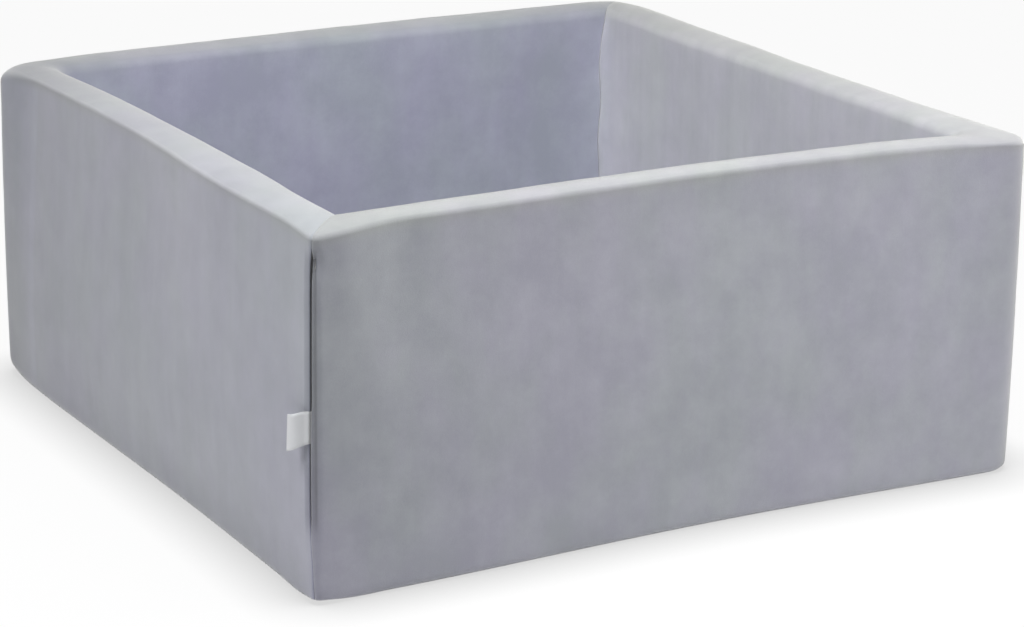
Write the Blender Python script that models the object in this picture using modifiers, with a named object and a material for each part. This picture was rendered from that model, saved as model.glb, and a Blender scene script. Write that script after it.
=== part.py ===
"""A square play pit: foam boards inside a zipped velvet cover.

Units are metres. The origin is the middle of the underside, +X runs to the right along the front wall,
+Y runs to the back and +Z is up. The cover is two sleeves. Each wraps two walls and the corner between
them, and they meet at a seam and a hidden zip in the front left corner and in the back right corner.
"""
import math

import bmesh
import bpy
from mathutils import Matrix, Vector

# Overall sizes
PIT_WIDTH = 0.900
PIT_DEPTH = 0.900
PIT_HEIGHT = 0.400
WALL = 0.060
FLOOR_FOAM = 0.050

# Cloth and clearances
VELVET = 0.0012
SLACK = 0.0005
GAP = 0.0003
SEAM_GAP = 0.0008

# Roundings of the padded walls
OUTER_ROUND = 0.022
INNER_ROUND = 0.014
BOTTOM_ROUND = 0.010
HEM = 0.004
CROWN = 0.003
CORNER_ROUND = 0.034
INNER_CORNER_ROUND = 0.024

# The front wall is pressed in, from a little past the left corner to the right corner
BOW = 0.0115
BOW_FROM_LEFT = 0.100
INNER_BOW_SHARE = 0.5

# The zipped corners: a strip of one sleeve turns the corner and ends at a slit in the side wall
ZIP_CORNER = 0.012
SLIT = 0.002
SLIT_RECESS = 0.0025
LIP = 0.012
STRIP_SPARE = 0.004
RIB_STEP = 0.002

# Zips
CORNER_ZIP_FOOT = 0.062
CORNER_ZIP_BELOW_RIM = 0.001
BASE_ZIP_FROM_SIDE = 0.100
BASE_ZIP_FROM_BACK = 0.140
TAPE_WIDTH = 0.008
TAPE = 0.0006
COIL_WIDTH = 0.0020
COIL = 0.0020
NECK = 0.0008
ZIP_END = 0.004
STOP = 0.004
SLIDER_LONG = 0.012
SLIDER_FLANK = 0.002
SLIDER_PLATE = 0.0015

# The folded ribbon label in the front left seam
LABEL_LONG = 0.026
LABEL_HIGH = 0.038
LABEL_MIDDLE = 0.189
LABEL_DROOP = 0.006
LABEL_RIBBON = 0.0004
LABEL_FOLD = 0.0008
LABEL_ANGLE = math.radians(132)

# How finely the round shapes are divided
BOTTOM_STEPS = 3
OUTER_STEPS = 6
INNER_STEPS = 4
CROWN_STEPS = 4
CORNER_STEPS = 8
ZIP_CORNER_STEPS = 4
LONG_STEPS = 14
SHORT_STEPS = 3
FOLD_STEPS = 6

# Places worked out from the sizes above
HALF_X = PIT_WIDTH / 2
HALF_Y = PIT_DEPTH / 2
INNER_X = HALF_X - WALL
INNER_Y = HALF_Y - WALL
SKIN = VELVET + SLACK
FLOOR_FOAM_TOP = SKIN + FLOOR_FOAM
FLOOR_TOP = FLOOR_FOAM_TOP + GAP + VELVET
TAPE_IN = VELVET + GAP
COIL_IN = TAPE_IN + TAPE + GAP
PLATE_IN = COIL_IN + COIL + GAP
ZIP_DEPTH = PLATE_IN + SLIDER_PLATE
COIL_OFF = NECK / 2 + GAP
COIL_FAR = COIL_OFF + COIL_WIDTH
SLIDER_HALF = COIL_FAR + GAP + SLIDER_FLANK
ZIP_HALF = max(SLIT / 2 + TAPE_WIDTH, SLIDER_HALF) + GAP
SLIT_BACK = ZIP_CORNER + TAPE_WIDTH / 2
LIP_BACK = SLIT_BACK + SLIT / 2 + LIP
NOTCH = max(ZIP_CORNER, SLIT_RECESS + ZIP_DEPTH) + STRIP_SPARE
NOTCH_BACK = max(LIP_BACK, SLIT_BACK + ZIP_HALF)
CORNER_ZIP_TOP = PIT_HEIGHT - CROWN - OUTER_ROUND - CORNER_ZIP_BELOW_RIM
CORNER_ZIP = CORNER_ZIP_TOP - CORNER_ZIP_FOOT
BASE_ZIP = PIT_WIDTH - 2 * BASE_ZIP_FROM_SIDE
BASE_ZIP_Y = HALF_Y - BASE_ZIP_FROM_BACK
BOW_CENTRE = BOW_FROM_LEFT / 2
BOW_REACH = HALF_X - BOW_CENTRE
LABEL_STAND = LABEL_FOLD + LABEL_RIBBON / 2 + GAP
CUT_OVERRUN = 0.020


def clear_scene():
    """Removes the objects that a new file starts with."""
    for thing in list(bpy.data.objects):
        bpy.data.objects.remove(thing, do_unlink=True)


def new_collection(name):
    collection = bpy.data.collections.new(name)
    bpy.context.scene.collection.children.link(collection)
    return collection


def new_material(name, colour, roughness, metallic=0.0, sheen=0.0):
    material = bpy.data.materials.new(name)
    material.use_nodes = True
    shader = material.node_tree.nodes["Principled BSDF"]
    shader.inputs["Base Color"].default_value = (*colour, 1.0)
    shader.inputs["Roughness"].default_value = roughness
    shader.inputs["Metallic"].default_value = metallic
    shader.inputs["Sheen Weight"].default_value = sheen
    material.diffuse_color = (*colour, 1.0)
    return material


def add_object(name, bm, material, collection):
    """Turns a bmesh into a named object with one material."""
    mesh = bpy.data.meshes.new(name)
    bm.to_mesh(mesh)
    bm.free()
    mesh.materials.append(material)
    thing = bpy.data.objects.new(name, mesh)
    collection.objects.link(thing)
    return thing


def smooth(thing):
    """Shades the round stretches smooth and keeps the real edges sharp."""
    thing.data.shade_smooth()
    thing.data.set_sharp_from_angle(angle=math.radians(50))


def arc(centre, radius, start, end, steps):
    """Returns the points of an arc, its angles in degrees."""
    points = []
    for step in range(steps + 1):
        angle = math.radians(start + (end - start) * step / steps)
        points.append((centre[0] + radius * math.cos(angle), centre[1] + radius * math.sin(angle)))
    return points


def blend(start, end, share):
    return start + (end - start) * share


def settled(point):
    """Moves a point of the straight pit to its place in the pressed in front wall."""
    reach = (point.x - BOW_CENTRE) / BOW_REACH
    bow = BOW * (1 - reach ** 2) ** 2 if abs(reach) < 1 else 0
    depth = point.y + HALF_Y
    if depth <= WALL:
        share = blend(1, INNER_BOW_SHARE, depth / WALL)
    else:
        share = max(0, blend(INNER_BOW_SHARE, 0, (depth - WALL) / (HALF_Y - WALL)))
    return Vector((point.x, point.y + bow * share, point.z))


def wall_profile(inset, foot):
    """Returns (distance in from the outer face, height) from the hem underneath over the rim to the foot."""
    shoulder = PIT_HEIGHT - CROWN - inset
    outer, inner, low = OUTER_ROUND - inset, INNER_ROUND - inset, BOTTOM_ROUND - inset
    near, far = inset, WALL - inset
    high = shoulder - outer
    points = [(near + low + HEM, inset)]
    points += arc((near + low, inset + low), low, 270, 180, BOTTOM_STEPS)
    points += arc((near + outer, high), outer, 180, 90, OUTER_STEPS)
    for step in range(1, CROWN_STEPS):
        share = step / CROWN_STEPS
        rise = CROWN * (1 - (2 * share - 1) ** 2)
        points.append((blend(near + outer, far - inner, share), shoulder + rise))
    points += arc((far - inner, shoulder - inner), inner, 90, 0, INNER_STEPS)
    points.append((far, foot))
    return points


def sleeve_ribs(half_turn):
    """Returns the (outer, inner) plan points that one sleeve spans, from its slit to its far seam."""
    outers = [(SLIT_RECESS - HALF_X, SLIT_BACK - SLIT / 2 - HALF_Y)]
    strip = arc((ZIP_CORNER - HALF_X, ZIP_CORNER - HALF_Y), ZIP_CORNER, 180, 270, ZIP_CORNER_STEPS)
    outers += strip
    inners = [(RIB_STEP * step - INNER_X, -INNER_Y) for step in range(len(outers))]
    bends = arc((HALF_X - CORNER_ROUND, CORNER_ROUND - HALF_Y), CORNER_ROUND, -90, 0, CORNER_STEPS)
    inner_bends = arc(
        (INNER_X - INNER_CORNER_ROUND, INNER_CORNER_ROUND - INNER_Y),
        INNER_CORNER_ROUND, -90, 0, CORNER_STEPS)
    for step in range(1, LONG_STEPS):
        share = step / LONG_STEPS
        outers.append((blend(strip[-1][0], bends[0][0], share), -HALF_Y))
        inners.append((blend(inners[len(strip)][0], inner_bends[0][0], share), -INNER_Y))
    outers += bends
    inners += inner_bends
    for step in range(1, SHORT_STEPS + 1):
        share = step / SHORT_STEPS
        outers.append((HALF_X, blend(bends[-1][1], HALF_Y - LIP_BACK, share)))
        inners.append((INNER_X, blend(inner_bends[-1][1], INNER_Y - SEAM_GAP - RIB_STEP, share)))
    outers.append((HALF_X - SLIT_RECESS, HALF_Y - SLIT_BACK - SLIT / 2))
    inners.append((INNER_X, INNER_Y - SEAM_GAP))
    turn = -1 if half_turn else 1
    return [(Vector(outer) * turn, Vector(inner) * turn) for outer, inner in zip(outers, inners)]


def wall_point(rib, inward, height):
    """The settled place of a profile point on a rib."""
    outer, inner = rib
    plan = outer.lerp(inner, inward / WALL)
    return settled(Vector((plan.x, plan.y, height)))


def sleeve(name, half_turn, material, collection):
    """Bends a grid over two walls and gives it the thickness of the cloth."""
    ribs = sleeve_ribs(half_turn)
    profile = wall_profile(0, FLOOR_TOP - VELVET)
    bm = bmesh.new()
    bmesh.ops.create_grid(bm, x_segments=len(ribs) - 1, y_segments=len(profile) - 1, size=1)
    for vert in bm.verts:
        rib = ribs[round((vert.co.x + 1) / 2 * (len(ribs) - 1))]
        inward, height = profile[round((vert.co.y + 1) / 2 * (len(profile) - 1))]
        vert.co = wall_point(rib, inward, height)
    thing = add_object(name, bm, material, collection)
    smooth(thing)
    cloth = thing.modifiers.new("Cloth", "SOLIDIFY")
    cloth.thickness = VELVET
    cloth.offset = -1
    return thing


def panel(name, inward, bottom, thickness, material, collection):
    """A level panel that fills the pit up to one distance in from the outer face."""
    bm = bmesh.new()
    ribs = sleeve_ribs(False) + sleeve_ribs(True)
    face = bm.faces.new([bm.verts.new(wall_point(rib, inward, bottom)) for rib in ribs])
    for piece in bmesh.ops.extrude_face_region(bm, geom=[face])["geom"]:
        if isinstance(piece, bmesh.types.BMVert):
            piece.co.z += thickness
    bmesh.ops.recalc_face_normals(bm, faces=bm.faces)
    return add_object(name, bm, material, collection)


def block(low, high):
    """A closed box between two corners, as a bmesh."""
    bm = bmesh.new()
    bmesh.ops.create_cube(bm, size=1)
    low, high = Vector(low), Vector(high)
    for vert in bm.verts:
        vert.co = (low + high) / 2 + (high - low) * vert.co
    return bm


def add_guide(thing, collection):
    """Keeps a cutting shape out of the model proper."""
    for home in list(thing.users_collection):
        home.objects.unlink(thing)
    collection.objects.link(thing)
    thing.hide_render = True
    thing.display_type = "WIRE"
    return thing


def guide_block(name, low, high, collection):
    mesh = bpy.data.meshes.new(name)
    bm = block(low, high)
    bm.to_mesh(mesh)
    bm.free()
    thing = bpy.data.objects.new(name, mesh)
    collection.objects.link(thing)
    return add_guide(thing, collection)


def foam_space(guides):
    """The room inside the walls of the cover, as one ring that shapes the boards."""
    ribs = sleeve_ribs(False) + sleeve_ribs(True)
    profile = wall_profile(SKIN, SKIN)
    bpy.ops.mesh.primitive_torus_add(major_segments=len(ribs), minor_segments=len(profile))
    ring = bpy.context.object
    ring.name = "foam_space"
    bm = bmesh.new()
    bm.from_mesh(ring.data)
    for index, vert in enumerate(bm.verts):
        inward, height = profile[index % len(profile)]
        vert.co = wall_point(ribs[index // len(profile)], inward, height)
    bmesh.ops.recalc_face_normals(bm, faces=bm.faces)
    bm.to_mesh(ring.data)
    bm.free()
    return add_guide(ring, guides)


def cut(thing, operation, cutter):
    step = thing.modifiers.new(cutter.name, "BOOLEAN")
    step.operation = operation
    step.solver = "EXACT"
    step.object = cutter


def make_boards(foam, pit, guides):
    """Four wall boards: the side boards run the full depth, the others stand between them."""
    ring = foam_space(guides)
    far_x, far_y = HALF_X + CUT_OVERRUN, HALF_Y + CUT_OVERRUN
    low_z, high_z = -CUT_OVERRUN, PIT_HEIGHT + CUT_OVERRUN
    side_x = INNER_X + SKIN + GAP
    end_x = INNER_X + SKIN - GAP
    near_y = INNER_Y - INNER_CORNER_ROUND - CUT_OVERRUN
    notch_x, notch_y = HALF_X - NOTCH, HALF_Y - NOTCH_BACK
    places = {
        "front_wall_foam": ((-end_x, -far_y, low_z), (end_x, -near_y, high_z)),
        "back_wall_foam": ((-end_x, near_y, low_z), (end_x, far_y, high_z)),
        "left_wall_foam": ((-far_x, -far_y, low_z), (-side_x, far_y, high_z)),
        "right_wall_foam": ((side_x, -far_y, low_z), (far_x, far_y, high_z)),
    }
    notches = {
        "left_wall_foam": guide_block(
            "front_zip_notch", (-far_x, -far_y, low_z), (-notch_x, -notch_y, high_z), guides),
        "right_wall_foam": guide_block(
            "rear_zip_notch", (notch_x, notch_y, low_z), (far_x, far_y, high_z), guides),
    }
    for name, (low, high) in places.items():
        thing = add_object(name, block(low, high), foam, pit)
        cut(thing, "INTERSECT", ring)
        if name in notches:
            cut(thing, "DIFFERENCE", notches[name])
        smooth(thing)


def make_floor(foam, velvet, pit, guides):
    """The floor pad between the boards, and the velvet over it."""
    pad = panel("floor_foam", WALL - SKIN + GAP, SKIN, FLOOR_FOAM, foam, pit)
    end = BASE_ZIP / 2 + GAP
    low = (-end, BASE_ZIP_Y - ZIP_HALF, -CUT_OVERRUN)
    high = (end, BASE_ZIP_Y + ZIP_HALF, ZIP_DEPTH + GAP)
    cut(pad, "DIFFERENCE", guide_block("base_zip_groove", low, high, guides))
    panel("floor_cover", WALL + SLACK, FLOOR_FOAM_TOP + GAP, VELVET, velvet, pit)


def make_base(velvet, pit, guides):
    """The underside in two panels with the base zip between them."""
    far_x, far_y = HALF_X + CUT_OVERRUN, HALF_Y + CUT_OVERRUN
    near_edge, far_edge = BASE_ZIP_Y - SLIT / 2, BASE_ZIP_Y + SLIT / 2
    sides = {
        "base_cover_front": ((-far_x, near_edge, -CUT_OVERRUN), (far_x, far_y, CUT_OVERRUN)),
        "base_cover_back": ((-far_x, -far_y, -CUT_OVERRUN), (far_x, far_edge, CUT_OVERRUN)),
    }
    for name, (low, high) in sides.items():
        thing = panel(name, BOTTOM_ROUND + HEM + SLACK, 0, VELVET, velvet, pit)
        cut(thing, "DIFFERENCE", guide_block(name + "_cut", low, high, guides))


def placed_block(name, low, high, place, material, collection):
    """A block given in a zip's own axes, with its origin at its middle."""
    middle = (Vector(low) + Vector(high)) / 2
    thing = add_object(name, block(Vector(low) - middle, Vector(high) - middle), material, collection)
    thing.matrix_world = place @ Matrix.Translation(middle)
    return thing


def axes_at(origin, depth, across, along):
    """The matrix of a zip: into the foam, across the slit, and along the zip towards its closed end."""
    turn = Matrix((depth, across, along)).transposed().to_4x4()
    return Matrix.Translation(origin) @ turn


def slider_outline():
    """Returns the slider's (depth, across) outline: a neck in the slit, and a plate with two flanks."""
    neck, flank, wide = NECK / 2, COIL_FAR + GAP, SLIDER_HALF
    half = [(GAP, neck), (PLATE_IN, neck), (PLATE_IN, flank)]
    half += [(COIL_IN, flank), (COIL_IN, wide), (ZIP_DEPTH, wide)]
    return half + [(depth, -across) for depth, across in reversed(half)]


def make_slider(name, place, middle, metal, pit):
    bm = bmesh.new()
    low = [Vector((depth, across, -SLIDER_LONG / 2)) for depth, across in slider_outline()]
    face = bm.faces.new([bm.verts.new(corner) for corner in low])
    for piece in bmesh.ops.extrude_face_region(bm, geom=[face])["geom"]:
        if isinstance(piece, bmesh.types.BMVert):
            piece.co.z += SLIDER_LONG
    bmesh.ops.recalc_face_normals(bm, faces=bm.faces)
    thing = add_object(name, bm, metal, pit)
    thing.matrix_world = place @ Matrix.Translation((0, 0, middle))


def make_zip(prefix, place, length, materials, pit):
    """Two tapes with their coils, a stop at each end, and a slider without a pull at the closed end."""
    tape, coil, metal = materials
    stop_in = ZIP_END + STOP
    for side, sign in (("left", 1), ("right", -1)):
        near, far = sorted((sign * SLIT / 2, sign * (SLIT / 2 + TAPE_WIDTH)))
        low, high = (TAPE_IN, near, 0), (TAPE_IN + TAPE, far, length)
        placed_block(f"{prefix}_{side}_tape", low, high, place, tape, pit)
        near, far = sorted((sign * COIL_OFF, sign * COIL_FAR))
        low, high = (COIL_IN, near, stop_in + GAP), (COIL_IN + COIL, far, length - stop_in - GAP)
        placed_block(f"{prefix}_{side}_coil", low, high, place, coil, pit)
    for end, foot in (("bottom", ZIP_END), ("top", length - stop_in)):
        low, high = (COIL_IN, -COIL_FAR, foot), (COIL_IN + COIL, COIL_FAR, foot + STOP)
        placed_block(f"{prefix}_{end}_stop", low, high, place, metal, pit)
    make_slider(f"{prefix}_slider", place, length - stop_in - GAP - SLIDER_LONG / 2, metal, pit)


def make_zips(materials, pit):
    """A zip in each seamed corner and one across the underside, along +X."""
    corner = Vector((SLIT_RECESS - HALF_X, SLIT_BACK - HALF_Y, CORNER_ZIP_FOOT))
    opposite = Vector((-corner.x, -corner.y, corner.z))
    base = Vector((-BASE_ZIP / 2, BASE_ZIP_Y, 0))
    front = axes_at(corner, (1, 0, 0), (0, 1, 0), (0, 0, 1))
    rear = axes_at(opposite, (-1, 0, 0), (0, -1, 0), (0, 0, 1))
    under = axes_at(base, (0, 0, 1), (0, -1, 0), (1, 0, 0))
    make_zip("front_corner_zip", front, CORNER_ZIP, materials, pit)
    make_zip("rear_corner_zip", rear, CORNER_ZIP, materials, pit)
    make_zip("base_zip", under, BASE_ZIP, materials, pit)


def make_label(satin, pit):
    """A ribbon folded into a flat loop, sewn to the lip of the front left slit."""
    root = Vector((SLIT_RECESS - LABEL_STAND - HALF_X, SLIT_BACK + SLIT / 2 + GAP - HALF_Y))
    out = Vector((math.cos(LABEL_ANGLE), math.sin(LABEL_ANGLE)))
    side = Vector((out.y, -out.x))
    straight = LABEL_LONG - LABEL_FOLD
    shares = [step / FOLD_STEPS for step in range(FOLD_STEPS)]
    loop = [(straight * share, LABEL_FOLD) for share in shares]
    loop += arc((straight, 0), LABEL_FOLD, 90, -90, FOLD_STEPS)
    loop += [(straight * share, -LABEL_FOLD) for share in reversed(shares)]
    bm = bmesh.new()
    bmesh.ops.create_grid(bm, x_segments=len(loop) - 1, y_segments=2, size=1)
    for vert in bm.verts:
        reach, off = loop[round((vert.co.x + 1) / 2 * (len(loop) - 1))]
        plan = root + out * reach + side * off
        height = LABEL_MIDDLE + LABEL_HIGH / 2 * vert.co.y
        vert.co = (plan.x, plan.y, height - LABEL_DROOP * (reach / LABEL_LONG) ** 2)
    thing = add_object("ribbon_label", bm, satin, pit)
    smooth(thing)
    ribbon = thing.modifiers.new("Ribbon", "SOLIDIFY")
    ribbon.thickness = LABEL_RIBBON
    ribbon.offset = 0


def main():
    clear_scene()
    pit = new_collection("Ball pit")
    guides = new_collection("Cutters")
    velvet = new_material("velvet", (0.40, 0.40, 0.44), 0.9, sheen=0.5)
    foam = new_material("foam", (0.78, 0.78, 0.74), 0.95)
    tape = new_material("zip tape", (0.20, 0.20, 0.22), 0.85)
    coil = new_material("zip coil", (0.16, 0.16, 0.18), 0.45)
    metal = new_material("zip metal", (0.55, 0.55, 0.56), 0.35, metallic=1.0)
    satin = new_material("white satin", (0.85, 0.86, 0.88), 0.35)
    make_boards(foam, pit, guides)
    make_floor(foam, velvet, pit, guides)
    make_base(velvet, pit, guides)
    sleeve("front_right_sleeve", False, velvet, pit)
    sleeve("back_left_sleeve", True, velvet, pit)
    make_zips((tape, coil, metal), pit)
    make_label(satin, pit)


main()
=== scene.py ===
"""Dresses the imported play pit: velvet cover, foam, zips, ribbon label, floor, light and camera."""
import math

import bmesh
import bpy
from bpy.props import FloatProperty, FloatVectorProperty, PointerProperty
from mathutils import Matrix, Vector, noise
from mathutils.bvhtree import BVHTree


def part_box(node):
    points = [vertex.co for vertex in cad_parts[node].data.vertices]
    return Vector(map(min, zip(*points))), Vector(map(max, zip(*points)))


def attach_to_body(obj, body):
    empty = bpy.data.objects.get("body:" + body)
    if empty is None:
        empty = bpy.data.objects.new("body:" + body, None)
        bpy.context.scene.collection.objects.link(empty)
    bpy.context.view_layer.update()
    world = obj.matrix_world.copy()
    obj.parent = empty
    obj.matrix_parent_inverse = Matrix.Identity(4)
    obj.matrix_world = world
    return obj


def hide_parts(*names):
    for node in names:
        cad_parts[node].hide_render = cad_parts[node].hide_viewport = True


bl_info = {
    "name": "Velvet play pit",
    "version": (1, 0, 0),
    "blender": (4, 5, 0),
    "location": "3D View > Sidebar > Play pit",
    "description": "Builds a square foam play pit in a zipped velvet cover",
    "category": "Object",
}

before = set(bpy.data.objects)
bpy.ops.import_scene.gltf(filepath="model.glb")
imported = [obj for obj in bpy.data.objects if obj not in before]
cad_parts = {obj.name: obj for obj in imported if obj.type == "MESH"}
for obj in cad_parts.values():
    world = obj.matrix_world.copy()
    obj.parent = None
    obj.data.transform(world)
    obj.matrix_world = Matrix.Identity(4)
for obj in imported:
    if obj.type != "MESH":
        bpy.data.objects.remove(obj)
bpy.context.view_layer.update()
SLEEVE_LOW, SLEEVE_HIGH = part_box("front_right_sleeve")
FLOOR_LOW, FLOOR_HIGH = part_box("floor_cover")
BASE_LOW, BASE_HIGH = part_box("base_cover_front")
BASE_SPLIT = (BASE_HIGH.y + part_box("base_cover_back")[0].y) / 2
LABEL_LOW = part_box("ribbon_label")[0]
HALF_X = SLEEVE_HIGH.x
HALF_Y = -SLEEVE_LOW.y
RIM = SLEEVE_HIGH.z
FLOOR_TOP = FLOOR_HIGH.z
ZIPS = ("front_corner_zip", "rear_corner_zip", "base_zip")

# How closely the cloth's mesh is divided: steps in metres, how they grow away from a corner, and numbers of rows
FINE = 0.0014
BEND_STEP = 0.0045
COARSE = 0.0085
GROWTH = 0.16
SEAM_FINE = 0.014
FACE_ROWS = 54
RIM_ROWS = 7
INSIDE_ROWS = 38
BOTTOM_STEPS = 5
OUTER_STEPS = 9
INNER_STEPS = 7
ROLL_STEPS = 4
TILT_PASSES = 5

# In metres: the straight outline past a seam, the foot of the inner faces below the floor's top, half the gap of a
# closed seam, and how far from a seam its gap, its relief and its wandering are felt
LEAD = 0.040
FOOT_BELOW = 0.010
TIGHT_GAP = 0.00003
GAP_REACH = 0.008
RELIEF_REACH = 0.030
SEAM_REACH = 0.034

# How far the hem goes on under the wall from its rounding, and at least from where the usual rounding starts
HEM = 0.005
HEM_LEAST = 0.0055

# The share of the strip round a zipped corner that is as long inside as outside, and how long the rest is inside
EVEN_STRIP = 0.6
REST_INSIDE = 0.7

# Heights from the slit's foot between which it opens, and the height below its head over which it closes
SLIT_OPENS = (-0.004, 0.026)
SLIT_CLOSES = 0.016

# How much painted shade the velvet gets beside the open slit: between it and the groove, in the groove and on the lip
STRIP_SHADE = 0.20
STRIP_FADE = 0.004
GROOVE_SHADE = 0.17
GROOVE_WIDE = 0.0042
LIP_SHADE = 0.20
LIP_FROM = 0.85

# The seam's height and how far it lies from its straight line there
SEAM_WANDER = (
    (0, -0.0057), (0.030, -0.0046), (0.100, -0.0005), (0.175, -0.0006), (0.225, -0.0020), (0.350, -0.0024),
    (0.398, -0.0060))

# The crossways fold at the seam, as its height and its width
CROSS_FOLD = (0.364, 0.014)

# Heights between which a face turns into the rim, and from which a wall leans, sinks and takes the painted shade of
# its folds
FACE_TOP = RIM - 0.020
RIM_FROM = RIM - 0.006
LEANS_FROM = 0.10
SINKS_FROM = 0.30
PAINTED_FOLD_SHADE_FROM = 0.004

# What the rim's rounding gains past a sleeve's plain corner, and at it without and with the half turn
PAST_CORNER = 0.007
AT_CORNER = (-0.006, 0.011)
CORNER_BAND = 0.06
CORNER_REACH = 0.065

# How far in plan a zipped corner's rim sinks, its foot is lifted, and the inner corner waves
DROOP_REACH = 0.042
LIFT_REACH = 0.036
WAVE_REACH = 0.015

# Each plain corner as its turn, how far in plan its rim sinks, and its share of the full depth
SUNK_CORNERS = ((1, 0.145, 0.68), (-1, 0.200, 0.78))

# Along each wall, where it starts to lean, leans fully, leans less and no longer leans, then the middle and the
# width of the right wall's lean, and the left wall's share of the full lean
FRONT_LEAN = (0.03 - HALF_X, 0.12 - HALF_X, HALF_X - 0.12, HALF_X - 0.03)
RIGHT_LEAN = (0.04 - HALF_Y, 0.20 - HALF_Y, HALF_Y - 0.15, HALF_Y - 0.03)
LEFT_LEAN = (-0.25, 0.05, HALF_Y - 0.12, HALF_Y - 0.01)
RIGHT_MOST = (-0.11, 0.29)
LEFT_SHARE = 0.85

# Along a wall, the middle and the width of what's pressed in or stands out at the left wall's foot, of the sag in
# the back rim and of the pinch that a zip gives the side walls
LEFT_PRESSED = (-0.12, 0.22)
LEFT_STANDING = (0.30, 0.13)
BACK_SAGGING = (-0.16, 0.20)
PINCHED = (0.115 - HALF_Y, 0.070)

# From the outer face inwards, where the outer face's swelling ends and where the inner face's starts and ends
OUTER_SWELLING = (0, 0.030)
INNER_SWELLING = (0.022, 0.060)
INNER_END = 0.09

# How far behind the front wall its bow still moves the cloth, and how deep the outer face's marks go into the rim
BOW_REACH = 0.33
OUTSIDE_DEPTH = 0.012

# At the inner corner, the cloth's wave, the depths below the rim between which it grows, and the smaller waves there
CORNER_WAVE = 0.0062
CORNER_WAVE_BAND = (0.004, 0.045)
CORNER_RIPPLE = 0.0016
CORNER_RIPPLE_TURNS = 62
CORNER_RIPPLE_START = 0.6

# Marks as (strength, middle, width): the turned sleeve's wider foot at its plain corner, painted shade under the
# rim's edge, painted light at the back right corner, a painted light line and painted shade on the rim near the
# turned sleeve's plain corner
WIDE_FOOT = (0.0140, 0, 0.050)
PAINTED_EDGE_SHADE = (-0.30, RIM - 0.005, 0.0035)
PAINTED_CORNER_LIGHT = (0.45, 0, 0.33)
PAINTED_LIGHT_LINE = (0.45, 0.114, 0.008)
PAINTED_RIM_SHADE = (-0.5, 0, 0.17)

# The painted shade on a strip of the left wall's face at its far corner: its strength, and between where it fades
FAR_SHADE = 0.22
FAR_FADE = (0.060, 0.106)

# How far from the zipped corner the foot's rounding turns from the seam's to the usual one
FOOT_TURNS = (0.010, 0.090)

# The nap's streaks near the zipped corner, and what they gain past the next corner without and with the half turn
NAP = 0.3
NAP_GAIN = (0.7, 0.3)

# How near two vertices count as one, which angles are flat and sharp, and how much larger the floor's velvet is in
# plan than its CAD node, so that its edge lies in the walls
MERGE = 0.00002
FLAT_ANGLE = math.radians(1)
SHARP_ANGLE = math.radians(40)
FLOOR_OVERLAP = 1.0055


def metres(default, description):
    """A size that the user can change."""
    return FloatProperty(description=description, default=default, precision=4, unit="LENGTH")


def paint(default, description):
    return FloatVectorProperty(description=description, default=default, subtype="COLOR", size=3, min=0, max=1)


def watts(default, description):
    return FloatProperty(description=description, default=default, min=0, subtype="POWER")


class CoverSizes(bpy.types.PropertyGroup):
    """The padded walls as the cover shapes them."""

    wall: metres(0.060, "Thickness of a wall with its cover")
    velvet: metres(0.0012, "Thickness of the cloth")
    outer_round: metres(0.0065, "Rounding of the rim on the outside")
    lean: metres(0.0142, "How far the rim's outer edge is drawn in between the corners")
    inner_round: metres(0.013, "Rounding of the rim on the inside")
    bottom_round: metres(0.009, "Rounding at the foot of the walls")
    corner_bottom: metres(0.0035, "Rounding of the foot at the zipped corners")
    crown: metres(0.003, "Rise of the rim between its edges")
    corner_round: metres(0.032, "Radius of the corners without a zip")
    inner_corner_round: metres(0.024, "Radius of the inner corners without a seam")
    zip_corner: metres(0.008, "Radius of the corners with a zip")
    bow: metres(0.0115, "How far the front wall is pressed in")
    bow_from_left: metres(0.100, "Where the bow starts, from the left corner")
    ripple: metres(0.0007, "Height of the cloth's soft waves")
    droop: metres(0.0045, "How far the rim sinks at a zipped corner")
    lifted: metres(0.0048, "How far the foot is off the floor at a zipped corner")
    sunk_corner: metres(0.0062, "How far the rim sinks at a corner without a zip")
    back_sag: metres(0.0016, "How far the back rim sags between its corners")
    belly: metres(0.0032, "How far the outer faces swell at half height")
    left_bow: metres(0.0032, "How far the left wall's foot is pressed in at its middle")
    pinch: metres(0.0042, "How far the zip's seam pulls the inner face of the side walls back")
    swell: metres(0.0050, "How far the inner faces swell between the corners")


class SeamSizes(bpy.types.PropertyGroup):
    """The zipped corner seams, from the slit on the side wall over the rim to the foot inside."""

    back: metres(0.009, "How far round the corner the slit lies")
    slit: metres(0.0052, "Width of the open slit over the zip")
    foot: metres(0.071, "Height at which the slit closes below")
    head: metres(0.385, "Height at which the slit closes above")
    roll: metres(0.0015, "Radius of the turned edge of the cloth")
    turned: metres(0.0022, "Depth of the edge past its roll")
    ridge: metres(0.0003, "Height of the padded ridge beside the slit")
    groove: metres(0.0031, "Depth of the groove at the corner")
    groove_at: metres(0.0098, "Where the groove lies, measured round the corner")
    lip: metres(0.0016, "How far the other edge turns in")
    lip_wide: metres(0.0105, "Width of the band that turns in")


class LabelSizes(bpy.types.PropertyGroup):
    """The folded satin ribbon at the slit."""

    high: metres(0.0375, "Width of the ribbon")
    long: metres(0.0140, "How far the folded ribbon reaches along the wall")
    thick: metres(0.0004, "Thickness of the ribbon")
    fold: metres(0.0009, "Radius of the fold")
    middle: metres(0.1910, "Height of the label's middle")
    droop: metres(0.0062, "How far the fold hangs down")
    flare: metres(0.0010, "How much deeper the fold's lower end hangs")


class FoamSizes(bpy.types.PropertyGroup):
    """The boards and the pad inside the cover."""

    cell: metres(0.008, "How finely a board's mesh is divided")
    below_cover: metres(0.0022, "How far the foam stays inside the cloth's outside")
    below_seam: metres(0.0030, "How much further it stays inside at a seam")


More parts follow.
